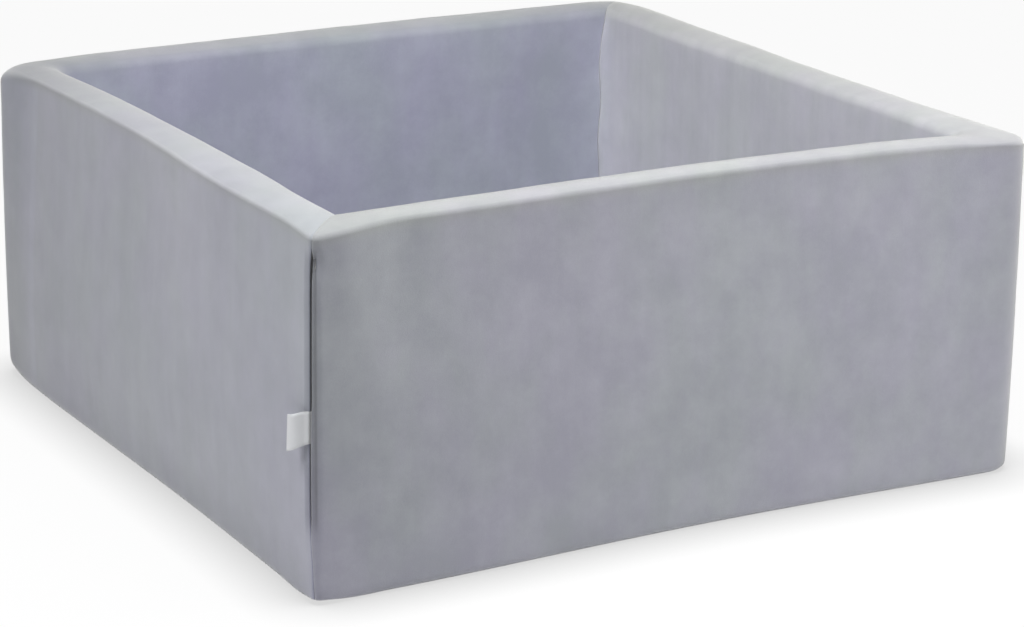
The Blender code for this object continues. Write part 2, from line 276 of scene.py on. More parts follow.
class ZipSizes(bpy.types.PropertyGroup):
    """The stitches at the zip under the pit."""

    stitch_inset: metres(0.090, "How far a row starts from the panel's side")
    stitch_off: metres(0.0060, "How far a row lies from the zip's middle")
    stitch_sunk: metres(0.0004, "How far a stitch stands out from its ends")


class PitColours(bpy.types.PropertyGroup):
    """The colours of the finishes."""

    velvet_deep: paint((0.276, 0.282, 0.331), "Where the pile lies down")
    velvet_pale: paint((0.424, 0.428, 0.476), "Where the pile stands up")
    # The colour of the painted shade deep in the slits and folds
    velvet_painted_shade: paint((0.030, 0.031, 0.036), "Deep in the slits and folds")
    foam: paint((0.760, 0.750, 0.690), "The boards and the floor pad")
    tape: paint((0.120, 0.121, 0.132), "The woven tapes")
    coil: paint((0.100, 0.101, 0.112), "The nylon coils")
    metal: paint((0.420, 0.420, 0.430), "Sliders and stops")
    satin: paint((0.800, 0.815, 0.840), "The ribbon label")
    thread: paint((0.330, 0.335, 0.375), "The stitches")


class StageSettings(bpy.types.PropertyGroup):
    """The light round the pit."""

    sky: FloatProperty(description="Strength of the even light", default=0.02, min=0)
    over: watts(30.5, "Power of the soft box over the front wall")
    left_high: watts(28.9, "Power of the soft box high on the left")
    left_far: watts(2.5, "Power of the soft box far on the left")
    right: watts(4.3, "Power of the soft box on the right")


def smooth(value, start=0.0, end=1.0):
    """0 before start, 1 after end and a soft rise between."""
    share = min(1.0, max(0.0, (value - start) / (end - start)))
    return share * share * (3 - 2 * share)


def plateau(value, start, full, falls, end):
    """0 outside start and end, 1 from full to where it falls."""
    return smooth(value, start, full) * (1 - smooth(value, falls, end))


def bell(value, middle, width):
    return math.exp(-((value - middle) / width) ** 2)


def marked(value, mark):
    """The strength at a value of a mark that fades to both sides."""
    strength, middle, width = mark
    return strength * bell(value, middle, width)


def wavy(point, across, up=0, shift=0):
    """Noise with so many waves per metre across and upwards."""
    return noise.noise(Vector((point.x * across, point.y * across, point.z * up + shift)))


def rim_share(height):
    """0 on the faces, 1 on the rim."""
    return smooth(height, FACE_TOP, RIM_FROM)


def to_plain_corner(place, turn=1):
    """The distance in plan to the front right corner, or with a turn of -1 to the back left one."""
    return math.hypot(place.x - HALF_X * turn, place.y + HALF_Y * turn)


def to_zip_corner(place, turn=1):
    """The distance in plan to the front left corner, or with a turn of -1 to the back right one."""
    return math.hypot(place.x + HALF_X * turn, place.y + HALF_Y * turn)


def arc(centre, radius, start, end, steps):
    """Returns the points of an arc, its angles in degrees."""
    points = []
    for step in range(steps + 1):
        angle = math.radians(start + (end - start) * step / steps)
        points.append((centre[0] + radius * math.cos(angle), centre[1] + radius * math.sin(angle)))
    return points


def spread(start, end, count):
    """count values evenly spaced strictly between two ends."""
    return [start + (end - start) * step / (count + 1) for step in range(1, count + 1)]


# Node trees

def add_node(tree, kind, inputs=None, **settings):
    """A node with its inputs set, or linked where the value is another node's socket."""
    node = tree.nodes.new(kind)
    for name, value in settings.items():
        setattr(node, name, value)
    for name, value in (inputs or {}).items():
        if isinstance(value, bpy.types.NodeSocket):
            tree.links.new(value, node.inputs[name])
        else:
            node.inputs[name].default_value = value
    return node


def math_node(tree, operation, *values):
    """What a Math node makes of its values."""
    return add_node(tree, "ShaderNodeMath", dict(enumerate(values)), operation=operation).outputs[0]


def sum_of(tree, terms, base):
    """base plus each socket times its weight, the socket counted from its middle value."""
    total = base
    for socket, weight in terms:
        total = math_node(tree, "ADD", math_node(tree, "MULTIPLY_ADD", socket, weight, -weight / 2), total)
    return total


def mixed(tree, factor, first, second, **settings):
    """Two colours mixed, each a socket or three numbers."""
    first, second = (
        colour if isinstance(colour, bpy.types.NodeSocket) else (*colour, 1) for colour in (first, second))
    return add_node(
        tree, "ShaderNodeMix", {0: factor, 6: first, 7: second}, data_type="RGBA", **settings).outputs[2]


def toned(colour, share):
    """A colour made darker, or lighter up to white."""
    return [min(1, part * share) for part in colour]


def ranged(tree, value, **ends):
    """A value mapped from one range to another."""
    ends = {name.replace("_", " "): end for name, end in ends.items()}
    return add_node(tree, "ShaderNodeMapRange", {"Value": value, **ends}).outputs[0]


def noise_at(tree, place, scale, detail, roughness=0.5, stretch=(1, 1, 1)):
    """Noise on a coordinate socket, with its blobs stretched along an axis by a smaller scale there."""
    mapping = add_node(tree, "ShaderNodeMapping", {"Vector": place, "Scale": stretch})
    return add_node(
        tree, "ShaderNodeTexNoise",
        {"Vector": mapping.outputs[0], "Scale": scale, "Detail": detail, "Roughness": roughness}).outputs["Fac"]


def waves(tree, place, scale, way, distortion=0):
    return add_node(
        tree, "ShaderNodeTexWave", {"Vector": place, "Scale": scale, "Distortion": distortion},
        bands_direction=way).outputs["Fac"]


def bump(tree, height, strength, distance):
    return add_node(
        tree, "ShaderNodeBump", {"Height": height, "Strength": strength, "Distance": distance}).outputs["Normal"]


def new_material(name, **values):
    """A Principled material with plain values on its own sockets: its tree, and coordinates on the object."""
    material = bpy.data.materials.new(name)
    material.use_nodes = True
    tree = material.node_tree
    for key, value in values.items():
        tree.nodes["Principled BSDF"].inputs[key.replace("_", " ")].default_value = value
    return tree, add_node(tree, "ShaderNodeTexCoord").outputs["Object"]


def feed(tree, **sockets):
    """Links sockets to the Principled shader's inputs of these names."""
    for key, socket in sockets.items():
        tree.links.new(socket, tree.nodes["Principled BSDF"].inputs[key.replace("_", " ")])


def velvet_material(colours):
    """Short pile velvet: the nap lies in streaks and blots, and the pile glows where it's seen edge on."""
    tree, place = new_material(
        "Velvet", Roughness=0.92, Sheen_Weight=1.0, Sheen_Roughness=0.55, Sheen_Tint=(1.0, 1.0, 0.97, 1.0),
        Specular_IOR_Level=0.15)
    cloth = add_node(tree, "ShaderNodeUVMap", uv_map="Cloth").outputs[0]
    nap, rim, cool, lay, fold = (
        add_node(tree, "ShaderNodeAttribute", attribute_name=name).outputs["Fac"]
        for name in ("nap", "rim", "cool", "lay", "fold"))
    streaks = noise_at(tree, cloth, 36, 3, 0.55, (1, 0.11, 1))
    blots = noise_at(tree, place, 24, 5, 0.62)
    patches = noise_at(tree, place, 5, 3)
    pile = noise_at(tree, place, 900, 2, 0.7)
    clouds = noise_at(tree, place, 8, 4, 0.6, (1, 1, 0.5))
    lying = math_node(tree, "MULTIPLY", streaks, nap)
    shade = sum_of(tree, [(lying, 0.9), (blots, 0.9), (patches, 0.7), (pile, 0.4)], 0.5)
    pile_colour = mixed(tree, shade, colours.velvet_deep, colours.velvet_pale)
    hue = ranged(tree, clouds, From_Min=0.38, From_Max=0.62)
    # Painted light and shade from the sleeve's values, darkening below 0 and lightening above
    painted_light_level = sum_of(tree, [(lay, 1.0)], 1.0)
    # Multiplied in turn: random hue, each sleeve's own tint, the painted light and shade, and a painted warmer tint
    # on the lit rims
    for factor, first, second in (
            (hue, (1.015, 0.985, 1.030), (0.985, 1.010, 0.965)), (cool, (0.994, 1.0, 1.010), (0.963, 0.990, 1.080)),
            (painted_light_level, (0.82, 0.82, 0.82), (1.18, 1.18, 1.18)), (rim, (1, 1, 1), (0.995, 1.0, 0.905))):
        pile_colour = mixed(tree, 1.0, pile_colour, mixed(tree, factor, first, second), blend_type="MULTIPLY")
    height = sum_of(tree, [(pile, 0.5), (blots, 0.6), (streaks, 0.4)], 0.5)
    # Painted shade: the fold value mixes the pile towards the painted shade colour in and beside the slits
    feed(tree, Base_Color=mixed(tree, fold, pile_colour, colours.velvet_painted_shade),
         Normal=bump(tree, height, 0.35, 0.0012))


def satin_material(colours):
    """White satin ribbon with a fine weave."""
    tree, place = new_material("Satin", Roughness=0.34, Sheen_Weight=0.25, Specular_IOR_Level=0.55)
    weave = waves(tree, place, 900, "Z", 0.4)
    shade = sum_of(tree, [(noise_at(tree, place, 90, 3), 0.5), (weave, 0.25)], 0.5)
    feed(tree, Base_Color=mixed(tree, shade, toned(colours.satin, 0.88), colours.satin),
         Normal=bump(tree, weave, 0.2, 0.0002))


def foam_material(colours):
    """Open cell foam."""
    tree, place = new_material("Foam", Roughness=0.95, Specular_IOR_Level=0.2)
    cells = add_node(tree, "ShaderNodeTexVoronoi", {"Vector": place, "Scale": 900}).outputs["Distance"]
    shade = sum_of(tree, [(noise_at(tree, place, 14, 3), 0.6), (cells, 0.6)], 0.5)
    feed(tree, Base_Color=mixed(tree, shade, toned(colours.foam, 0.84), colours.foam),
         Normal=bump(tree, cells, 0.6, 0.0006))


def woven_material(name, colour, scale):
    """A fine twill, for the zip tapes and the sewing thread."""
    tree, place = new_material(name, Roughness=0.82, Sheen_Weight=0.2)
    slanted, level = (waves(tree, place, scale, way) for way in ("DIAGONAL", "Z"))
    shade = sum_of(tree, [(slanted, 0.6), (level, 0.4)], 0.5)
    feed(tree, Base_Color=mixed(tree, shade, toned(colour, 0.6), colour), Normal=bump(tree, shade, 0.4, 0.0003))


def nylon_material(colours):
    tree, place = new_material("Nylon_coil", Roughness=0.42)
    feed(tree, Base_Color=mixed(tree, noise_at(tree, place, 260, 3), colours.coil, toned(colours.coil, 1.5)))


def metal_material(colours):
    """Die cast zinc with a satin plating, rubbed in spots."""
    tree, place = new_material("Zip_metal", Metallic=1.0, Roughness=0.38)
    rubbed = noise_at(tree, place, 420, 4, 0.65)
    feed(tree, Base_Color=mixed(tree, rubbed, colours.metal, toned(colours.metal, 1.35)),
         Roughness=ranged(tree, rubbed, To_Min=0.30, To_Max=0.52))


def finish(name):
    """The material of that name, made the first time that it's asked for."""
    makers = {
        "Velvet": velvet_material, "Satin": satin_material, "Foam": foam_material, "Nylon_coil": nylon_material,
        "Zip_metal": metal_material,
        "Zip_tape": lambda colours: woven_material("Zip_tape", colours.tape, 700),
        "Thread": lambda colours: woven_material("Thread", colours.thread, 1600),
    }
    if name not in bpy.data.materials:
        makers[name](bpy.context.scene.pit_colours)
    return bpy.data.materials[name]


# Meshes

def new_object(name, data):
    """An object with its data, linked to the scene."""
    made = bpy.data.objects.new(name, data)
    bpy.context.scene.collection.objects.link(made)
    return made


def add_piece(name, bm, material):
    """A named object from a bmesh, shaded smooth."""
    mesh = bpy.data.meshes.new(name)
    bm.to_mesh(mesh)
    bm.free()
    mesh.shade_smooth()
    mesh.materials.append(finish(material))
    return new_object(name, mesh)


def attach(piece, body, slot, *nodes):
    """Lets a piece ride on its body and stand for its CAD nodes; the slot is not used."""
    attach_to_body(piece, body)
    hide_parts(*nodes)


def grid_piece(name, points, uvs, material, **layers):
    """A sheet from rows of points, with a UV map in metres and other values at each point."""
    bm = bmesh.new()
    cloth = bm.loops.layers.uv.new("Cloth")
    kept = [bm.verts.layers.float.new(layer) for layer in layers]
    verts = [[bm.verts.new(point) for point in column] for column in points]
    for layer, values in zip(kept, layers.values()):
        for column, shares in zip(verts, values):
            for vert, share in zip(column, shares):
                vert[layer] = share
    for across in range(len(verts) - 1):
        for up in range(len(verts[0]) - 1):
            corners = [(across, up), (across + 1, up), (across + 1, up + 1), (across, up + 1)]
            face = bm.faces.new([verts[i][j] for i, j in corners])
            for loop, (i, j) in zip(face.loops, corners):
                loop[cloth].uv = uvs[i][j]
    return add_piece(name, bm, material)


def thicken(piece, thickness, offset=-1):
    """Gives a sheet its thickness, as a closed shell."""
    shell = piece.modifiers.new("Thickness", "SOLIDIFY")
    shell.thickness = thickness
    shell.offset = offset
    apply_modifiers(piece)


def apply_modifiers(piece):
    """Turns what a piece's modifiers make into its plain mesh."""
    bpy.context.view_layer.update()
    depsgraph = bpy.context.evaluated_depsgraph_get()
    mesh = bpy.data.meshes.new_from_object(
        piece.evaluated_get(depsgraph), preserve_all_data_layers=True, depsgraph=depsgraph)
    piece.modifiers.clear()
    piece.data = mesh


# The cover's two sleeves

def line(start, end):
    """A straight stretch of an outline: its length, and its point at a distance."""
    start, end = Vector(start), Vector(end)
    way = (end - start).normalized()
    return (end - start).length, lambda distance: start + way * distance


def bend(centre, radius, start):
    """A quarter turn to the left: its length, and its point at a distance."""
    centre = Vector(centre)

    def place(distance):
        angle = math.radians(start) + distance / radius
        return centre + radius * Vector((math.cos(angle), math.sin(angle)))

    return radius * math.pi / 2, place


def walk(stretches, distance):
    """The point at a distance along the stretches, which run on straight past both ends."""
    for length, place in stretches[:-1]:
        if distance <= length:
            return place(distance)
        distance -= length
    return stretches[-1][1](distance)


def sleeve_paths(cover, seam):
    """The outer and the inner outline of one sleeve, and the distances that belong together on them."""
    inner_x, inner_y = HALF_X - cover.wall, HALF_Y - cover.wall
    tight, wide, inside = cover.zip_corner, cover.corner_round, cover.inner_corner_round
    outer = [
        line((-HALF_X, LEAD - HALF_Y), (-HALF_X, tight - HALF_Y)),
        bend((tight - HALF_X, tight - HALF_Y), tight, 180),
        line((tight - HALF_X, -HALF_Y), (HALF_X - wide, -HALF_Y)),
        bend((HALF_X - wide, wide - HALF_Y), wide, -90),
        line((HALF_X, wide - HALF_Y), (HALF_X, HALF_Y - tight)),
        bend((HALF_X - tight, HALF_Y - tight), tight, 0),
        line((HALF_X - tight, HALF_Y), (HALF_X - tight - LEAD, HALF_Y)),
    ]
    inner = [
        line((-inner_x, -inner_y), (inner_x - inside, -inner_y)),
        bend((inner_x - inside, inside - inner_y), inside, -90),
        line((inner_x, inside - inner_y), (inner_x, inner_y)),
    ]
    lengths = [length for length, _ in outer]
    inner_total = sum(length for length, _ in inner)
    flat = seam.back - tight
    strip = flat + lengths[1]
    turn = strip + lengths[2]
    total = turn + lengths[3] + lengths[4] - flat
    near = strip * EVEN_STRIP
    knots = [
        (0, 0), (near, near), (strip, near + (strip - near) * REST_INSIDE), (turn, inner[0][0]),
        (turn + lengths[3], inner[0][0] + inner[1][0]), (total - near, inner_total - near), (total, inner_total)]
    return outer, inner, knots


def matched(knots, distance):
    """The distance on the inner outline that belongs to one on the outer outline."""
    for (start, low), (end, high) in zip(knots, knots[1:]):
        if distance <= end:
            return low + (high - low) * (distance - start) / (end - start)
    return knots[-1][1]


def sleeve_columns(knots, seam):
    """Columns of a sleeve as (distance, depth): rolled edges at both ends and closer steps at the corners."""
    total = knots[-1][0]
    fine_places = [(0, knots[2][0], FINE), (knots[3][0], knots[4][0], BEND_STEP), (total - SEAM_FINE, total, FINE)]
    roll = [(0, seam.roll + seam.turned)]
    for step in range(ROLL_STEPS + 1):
        angle = math.radians(90 * step / ROLL_STEPS)
        roll.append((seam.roll * (1 - math.cos(angle)), seam.roll * (1 - math.sin(angle))))
    here, plain = seam.roll, []
    while here < total - seam.roll:
        if plain or here > seam.roll:
            plain.append((here, 0))
        steps = [step + GROWTH * max(0, start - here, here - end) for start, end, step in fine_places]
        here += min(COARSE, *steps)
    plain = [column for column in plain if total - seam.roll - column[0] > FINE / 2]
    return roll + plain + [(total - distance, depth) for distance, depth in reversed(roll)]


def bow_shape(x, cover):
    """1 in the middle of the front wall's bow, falling to 0 at its ends."""
    middle = cover.bow_from_left / 2
    reach = (x - middle) / (HALF_X - middle)
    return (1 - reach ** 2) ** 2 if abs(reach) < 1 else 0


def wall_profile(cover, outer_round, low):
    """Rows from the hem underneath over the rim to the foot inside, as (inward, height, share of outer face)."""
    wall, inner = cover.wall, cover.inner_round
    shoulder = RIM - cover.crown
    tilt = 0
    for _ in range(TILT_PASSES):
        start, end = outer_round * (1 - math.sin(tilt)), wall - inner * (1 - math.sin(tilt))
        tilt = math.atan2(4 * cover.crown, end - start)
    high, low_inside = shoulder - outer_round * math.cos(tilt), shoulder - inner * math.cos(tilt)
    lean_out = math.degrees(tilt)
    rows = [(max(low + HEM, cover.bottom_round + HEM_LEAST), 0, 0), (low + HEM / 2, 0, 0)]
    rows += [(inward, height, height / low) for inward, height in arc((low, low), low, 270, 180, BOTTOM_STEPS)]
    rows += [(0, height, 1) for height in spread(low, high, FACE_ROWS)]
    for step, place in enumerate(arc((outer_round, high), outer_round, 180, 90 + lean_out, OUTER_STEPS)):
        rows.append((*place, 1 - 0.65 * step / OUTER_STEPS))
    for inward in spread(start, end, RIM_ROWS):
        share = (inward - start) / (end - start)
        rows.append((inward, shoulder + cover.crown * (1 - (2 * share - 1) ** 2), 0.35 * (1 - share)))
    rows += [(*place, 0) for place in arc((wall - inner, low_inside), inner, 90 - lean_out, 0, INNER_STEPS)]
    foot = FLOOR_TOP - FOOT_BELOW
    rows += [(wall, height, 0) for height in spread(low_inside, foot, INSIDE_ROWS)]
    return rows + [(wall, foot, 0)]


def seam_line(height):
    """How far the seam wanders from its straight line, away from the corner."""
    for (low, start), (high, end) in zip(SEAM_WANDER, SEAM_WANDER[1:]):
        if height <= high:
            return start + (end - start) * smooth(height, low, high)
    return SEAM_WANDER[-1][1]


def gap_shape(height, seam):
    """1 where the slit is open, 0 where the seam below and above it holds the edges together."""
    return plateau(height - seam.foot, *SLIT_OPENS, seam.head - seam.foot - SLIT_CLOSES, seam.head - seam.foot)


def outer_shift(start, end, height, seam):
    """Moves the cloth beside a seam along its wall: start and end are the distances to the two seams."""
    half_gap = TIGHT_GAP + (seam.slit / 2 - TIGHT_GAP) * gap_shape(height, seam)
    side, away = (1, start) if start < end else (-1, end)
    return side * half_gap * (1 - smooth(away, 0, GAP_REACH)) - seam_line(height) * (1 - smooth(away, 0, SEAM_REACH))


def face_relief(start, end, height, seam):
    """How far the outer face stands out beside the slit: a ridge and a groove on one side, a lip on the other."""
    open_share = gap_shape(height, seam)
    if start < end:
        place = start + outer_shift(start, end, height, seam)
        slit = -seam_line(height)
        fold = bell(height, *CROSS_FOLD)
        crest = (slit + seam.groove_at) / 2 + 0.0005
        ridge = seam.ridge * (0.5 + 0.5 * open_share) * bell(place, crest, (seam.groove_at - slit) / 3.4)
        groove = seam.groove * (0.15 + 0.85 * open_share + 0.9 * fold)
        return ridge - groove * bell(place, seam.groove_at + 0.0006 * fold, 0.0040 + 0.0020 * fold)
    band = max(0, 1 - end / seam.lip_wide)
    return -seam.lip * (0.3 + 0.7 * open_share) * band


def painted_fold_shade(start, end, depth, height, seam):
    """How much painted shade the cloth gets: full in the slit, partly beside it and in the groove."""
    open_share = gap_shape(height, seam)
    if depth > seam.roll * 0.35:
        return smooth(depth, seam.roll * 0.35, seam.roll) * (0.35 + 0.65 * open_share)
    if start < end:
        place = start + outer_shift(start, end, height, seam)
        strip = 1 - smooth(place, seam.groove_at, seam.groove_at + STRIP_FADE)
        return open_share * (STRIP_SHADE * strip + GROOVE_SHADE * bell(place, seam.groove_at, GROOVE_WIDE))
    return LIP_SHADE * open_share * (1 - smooth(end, seam.lip_wide * LIP_FROM, seam.lip_wide))


def ripples(point, cover):
    """Soft waves of the stretched cloth: mostly upright, with smaller ones across."""
    return cover.ripple * (wavy(point, 11, 3.2) + 0.35 * wavy(point, 30, 24, 7))


def rim_round(place, half_turn, cover):
    """The rounding of the outer rim at a place on the outline of the sleeve that isn't turned."""
    past = smooth(place.x, HALF_X - CORNER_BAND, HALF_X)
    if half_turn:
        past = 1 - smooth(place.y, -HALF_Y, CORNER_BAND - HALF_Y)
    at_corner = AT_CORNER[half_turn] * bell(to_plain_corner(place), 0, CORNER_REACH)
    return cover.outer_round + PAST_CORNER * past + at_corner


def lean(point, cover):
    """How far the upper part of each wall is drawn in, as (x, y)."""
    rise = cover.lean * smooth(point.z, LEANS_FROM, RIM)
    front = max(0, 1 - (point.y + HALF_Y) / cover.wall) * plateau(point.x, *FRONT_LEAN)
    right = max(0, 1 - (HALF_X - point.x) / cover.wall) * bell(point.y, *RIGHT_MOST) * plateau(point.y, *RIGHT_LEAN)
    left = LEFT_SHARE * max(0, 1 - (point.x + HALF_X) / cover.wall) * plateau(point.y, *LEFT_LEAN)
    return rise * (left - right), rise * front


def straight_points(half_turn, cover, seam, columns, paths):
    """The sleeve's points in the straight pit without relief, and each column's rows of the wall's profile."""
    outer, inner, knots = paths
    total, lead = knots[-1][0], LEAD - seam.back
    base, rows_of = [], []
    for start, _ in columns:
        end = total - start
        place = walk(outer, lead + start)
        away = min(abs(start - knots[2][0] / 2), end)
        low = cover.corner_bottom + (cover.bottom_round - cover.corner_bottom) * smooth(away, *FOOT_TURNS)
        if half_turn:
            low += marked(to_plain_corner(place), WIDE_FOOT)
        rows = wall_profile(cover, rim_round(place, half_turn, cover), low)
        inside = matched(knots, start)
        beside_seam = min(start, end) < SEAM_REACH
        if beside_seam:
            inside += TIGHT_GAP if start < end else -TIGHT_GAP
        near = walk(inner, inside)
        column = []
        for inward, height, _ in rows:
            far = walk(outer, lead + start + outer_shift(start, end, height, seam)) if beside_seam else place
            plan = far.lerp(near, inward / cover.wall)
            column.append(Vector((plan.x, plan.y, height)))
        base.append(column)
        rows_of.append(rows)
    return base, rows_of


def sleeve_points(half_turn, cover, seam, columns, paths):
    """The sleeve's points in the straight pit, with its ripples and the relief at its seams."""
    base, rows_of = straight_points(half_turn, cover, seam, columns, paths)
    total, apart = paths[2][-1][0], FINE / 20
    points = []
    for index, (start, depth) in enumerate(columns):
        end = total - start
        low = max((i for i in range(index) if start - columns[i][0] > apart), default=index)
        high = min((i for i in range(index, len(columns)) if columns[i][0] - start > apart), default=index)
        column = []
        for row, (inward, height, share) in enumerate(rows_of[index]):
            place = base[index][row]
            along = base[high][row] - base[low][row]
            up = base[index][min(row + 1, len(base[index]) - 1)] - base[index][max(row - 1, 0)]
            normal = along.cross(up).normalized()
            if depth and inward > cover.wall / 2:
                level = math.copysign(normal.xy.length / math.sqrt(2), end - start)
                normal = Vector((level, level, normal.z))
            out = -depth * (1 - 0.7 * rim_share(height))
            if share and min(start, end) < RELIEF_REACH:
                out += share * face_relief(start, end, height, seam)
            free = smooth(height, 0, RELIEF_REACH) * smooth(min(start, end), 0, RELIEF_REACH)
            out += ripples(place, cover) * free
            column.append(place + normal * out)
        points.append(column)
    return points


def swollen(point, cover):
    """Swells the walls between their corners, and sinks the rim at the back and at the corners without a zip."""
    moved = point.copy()
    sides = (abs(point.x) / HALF_X, abs(point.y) / HALF_Y)
    on_side_wall = sides[0] > sides[1]
    depth = HALF_X - max(abs(point.x), abs(point.y))
    level = point.z / RIM
    belly = cover.belly * (1 - (2 * level - 1) ** 2) * (1.5 - level) * (1 - smooth(depth, *OUTER_SWELLING))
    if point.x < 0 and on_side_wall:
        foot = bell(point.y, *LEFT_PRESSED) - 0.5 * bell(point.y, *LEFT_STANDING)
        belly -= cover.left_bow * foot * (1 - smooth(level, 0, 0.4))
    along = point.y * math.copysign(1, -point.x) if on_side_wall else HALF_X
    between = max(0, 1 - (min(abs(point.x), abs(point.y)) / (HALF_X - cover.wall)) ** 4)
    swell = cover.swell * between - cover.pinch * bell(along, *PINCHED)
    swell *= smooth(depth, *INNER_SWELLING) * smooth(point.z, FLOOR_TOP, RIM) * (depth < INNER_END)
    weights = [side ** 8 for side in sides]
    out = (belly - swell) / sum(weights)
    moved.x += weights[0] * out * math.copysign(1, point.x)
    moved.y += weights[1] * out * math.copysign(1, point.y)
    back = smooth(point.y, HALF_Y - cover.wall - 0.010, HALF_Y - cover.wall + 0.020)
    sinks = smooth(point.z, SINKS_FROM, RIM)
    moved.z -= cover.back_sag * bell(point.x, *BACK_SAGGING) * back * sinks
    for turn, reach, share in SUNK_CORNERS:
        moved.z -= share * cover.sunk_corner * bell(to_plain_corner(point, turn), 0, reach) * sinks
    return moved


def corner_lift(point):
    """How far the foot of a corner with a zip stands off the ground."""
    lifted = bpy.context.scene.pit_cover.lifted * (1 - smooth(point.z, 0, 0.08))
    return lifted * sum(bell(to_zip_corner(point, turn), 0, LIFT_REACH) for turn in (1, -1))


def settled(point, cover):
    """Moves a point of the straight pit to where the pressed and sunken pit has it."""
    moved = swollen(point, cover)
    drawn_x, drawn_y = lean(point, cover)
    moved.x += drawn_x
    moved.y += drawn_y
    behind = point.y + HALF_Y - cover.wall
    share = 0.5 - 0.5 * behind / cover.wall if behind <= 0 else 0.5 * max(0, 1 - behind / BOW_REACH)
    moved.y += cover.bow * bow_shape(point.x, cover) * share
    for turn in (1, -1):
        droop = cover.droop * bell(to_zip_corner(point, turn), 0, DROOP_REACH)
        moved.z -= droop * smooth(point.z, SINKS_FROM, RIM)
    moved.z += corner_lift(point)
    inner_corner = Vector((HALF_X - cover.wall, HALF_Y - cover.wall))
    from_rim = RIM - point.z
    wave = CORNER_WAVE * smooth(from_rim, *CORNER_WAVE_BAND)
    wave += CORNER_RIPPLE * math.sin(point.z * CORNER_RIPPLE_TURNS + CORNER_RIPPLE_START)
    wave *= bell((point.xy - inner_corner).length, 0, WAVE_REACH)
    moved.x -= wave * smooth(point.z, FLOOR_TOP, 0.12) * smooth(from_rim, 0, 0.02)
    return moved


def sleeve_sheet(half_turn):
    """One sleeve's settled points, its points before that, its columns and its outlines."""
    scene = bpy.context.scene
    cover, seam = scene.pit_cover, scene.pit_seams
    paths = sleeve_paths(cover, seam)
    columns = sleeve_columns(paths[2], seam)
    points = sleeve_points(half_turn, cover, seam, columns, paths)
    turn = -1 if half_turn else 1
    placed = [[settled(Vector((p.x * turn, p.y * turn, p.z)), cover) for p in column] for column in points]
    return placed, points, columns, paths


def cover_share(point, cover):
    """1 on the outer faces, 0 from the middle of the rim inwards."""
    depth = min(HALF_X - abs(point.x), HALF_Y - abs(point.y))
    return 1 - smooth(depth, OUTSIDE_DEPTH, cover.wall / 2)


def painted_light_at(point, on_rim, half_turn, cover):
    """Painted light and shade at a point of the unturned sleeve: below 0 it is painted darker, above 0 lighter."""
    # Painted shade under the rim's outer edge, where the sheen is brightest
    edge = marked(point.z, PAINTED_EDGE_SHADE) * cover_share(point, cover)
    # The sleeve that isn't turned gets painted light at its back right corner
    if not half_turn:
        return edge + marked(to_zip_corner(point, -1), PAINTED_CORNER_LIGHT)
    # The turned sleeve: a painted light line and painted shade at the left wall's far corner, painted shade on its
    # rim
    from_corner = HALF_Y + point.y
    pressed = marked(from_corner, PAINTED_LIGHT_LINE) - FAR_SHADE * (1 - smooth(from_corner, *FAR_FADE))
    on_face = (1 - on_rim) * (point.x > HALF_X - cover.wall / 2)
    return edge + on_rim * marked(to_plain_corner(point), PAINTED_RIM_SHADE) + pressed * on_face


def make_sleeve(name, node, half_turn):
    """One sleeve: from the slit round the zipped corner, over two walls and up to the next slit."""
    cover, seam = bpy.context.scene.pit_cover, bpy.context.scene.pit_seams
    placed, points, columns, paths = sleeve_sheet(half_turn)
    lengths, middle = [0], points[len(points) // 2]
    for low, high in zip(middle, middle[1:]):
        lengths.append(lengths[-1] + (high - low).length)
    uvs = [[(distance, up) for up in lengths] for distance, _ in columns]
    knots = paths[2]
    corner, total = knots[3][0], knots[-1][0]
    nap, fold, rim, lay = [], [], [], []
    for (distance, depth), column in zip(columns, points):
        nap.append([NAP + NAP_GAIN[half_turn] * smooth(distance, corner, corner + 0.05)] * len(column))
        # rim: where the velvet's colour gets a painted warmer tint for the light on the rim
        rim.append([rim_share(point.z) for point in column])
        # Painted light and shade for the velvet's colour
        lay.append([painted_light_at(point, share, half_turn, cover) for point, share in zip(column, rim[-1])])
        # fold: painted shade in and beside the slits, on the outer faces above the hem
        fold.append([
            painted_fold_shade(distance, total - distance, depth, point.z, seam)
            if point.z > PAINTED_FOLD_SHADE_FROM and cover_share(point, cover) else 0
            for point in column])
    cool = [[float(half_turn)] * len(column) for column in points]
    piece = grid_piece(name, placed, uvs, "Velvet", nap=nap, fold=fold, rim=rim, lay=lay, cool=cool)
    thicken(piece, cover.velvet)
    attach(piece, "pit", "velvet", node)


class PIT_OT_cover(bpy.types.Operator):
    """Makes the two velvet sleeves of the cover"""

    bl_idname = "pit.make_cover"
    bl_label = "Make the cover"

    def execute(self, context):
        make_sleeve("Front_right_cover", "front_right_sleeve", False)
        make_sleeve("Back_left_cover", "back_left_sleeve", True)
        return {"FINISHED"}


# Inside and under the cover

# The floor's velvet: its crown, its edge's rounding and its unevenness, and the base's waves
FLOOR_CROWN = 0.0058
FLOOR_EDGE = 0.0010
FLOOR_EDGE_WIDE = 0.014
FLOOR_SUNK = 0.0008
FLOOR_UNEVEN = 0.0009
BASE_WAVE = 0.00022

# Spacing of the points in the floor's and the base's velvet
FLOOR_SPACING = 0.011
BASE_SPACING = 0.012

# From a seam's line, where the foam has its full and its usual distance to the cover
SEAM_BAND = (0.014, 0.030)


def node_mesh(node):
    """A CAD node's mesh with its doubles merged and its flat faces whole."""
    bm = bmesh.new()
    bm.from_mesh(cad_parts[node].data)
    bmesh.ops.remove_doubles(bm, verts=bm.verts, dist=MERGE)
    bmesh.ops.dissolve_limit(bm, angle_limit=FLAT_ANGLE, verts=bm.verts, edges=bm.edges)
    return bm


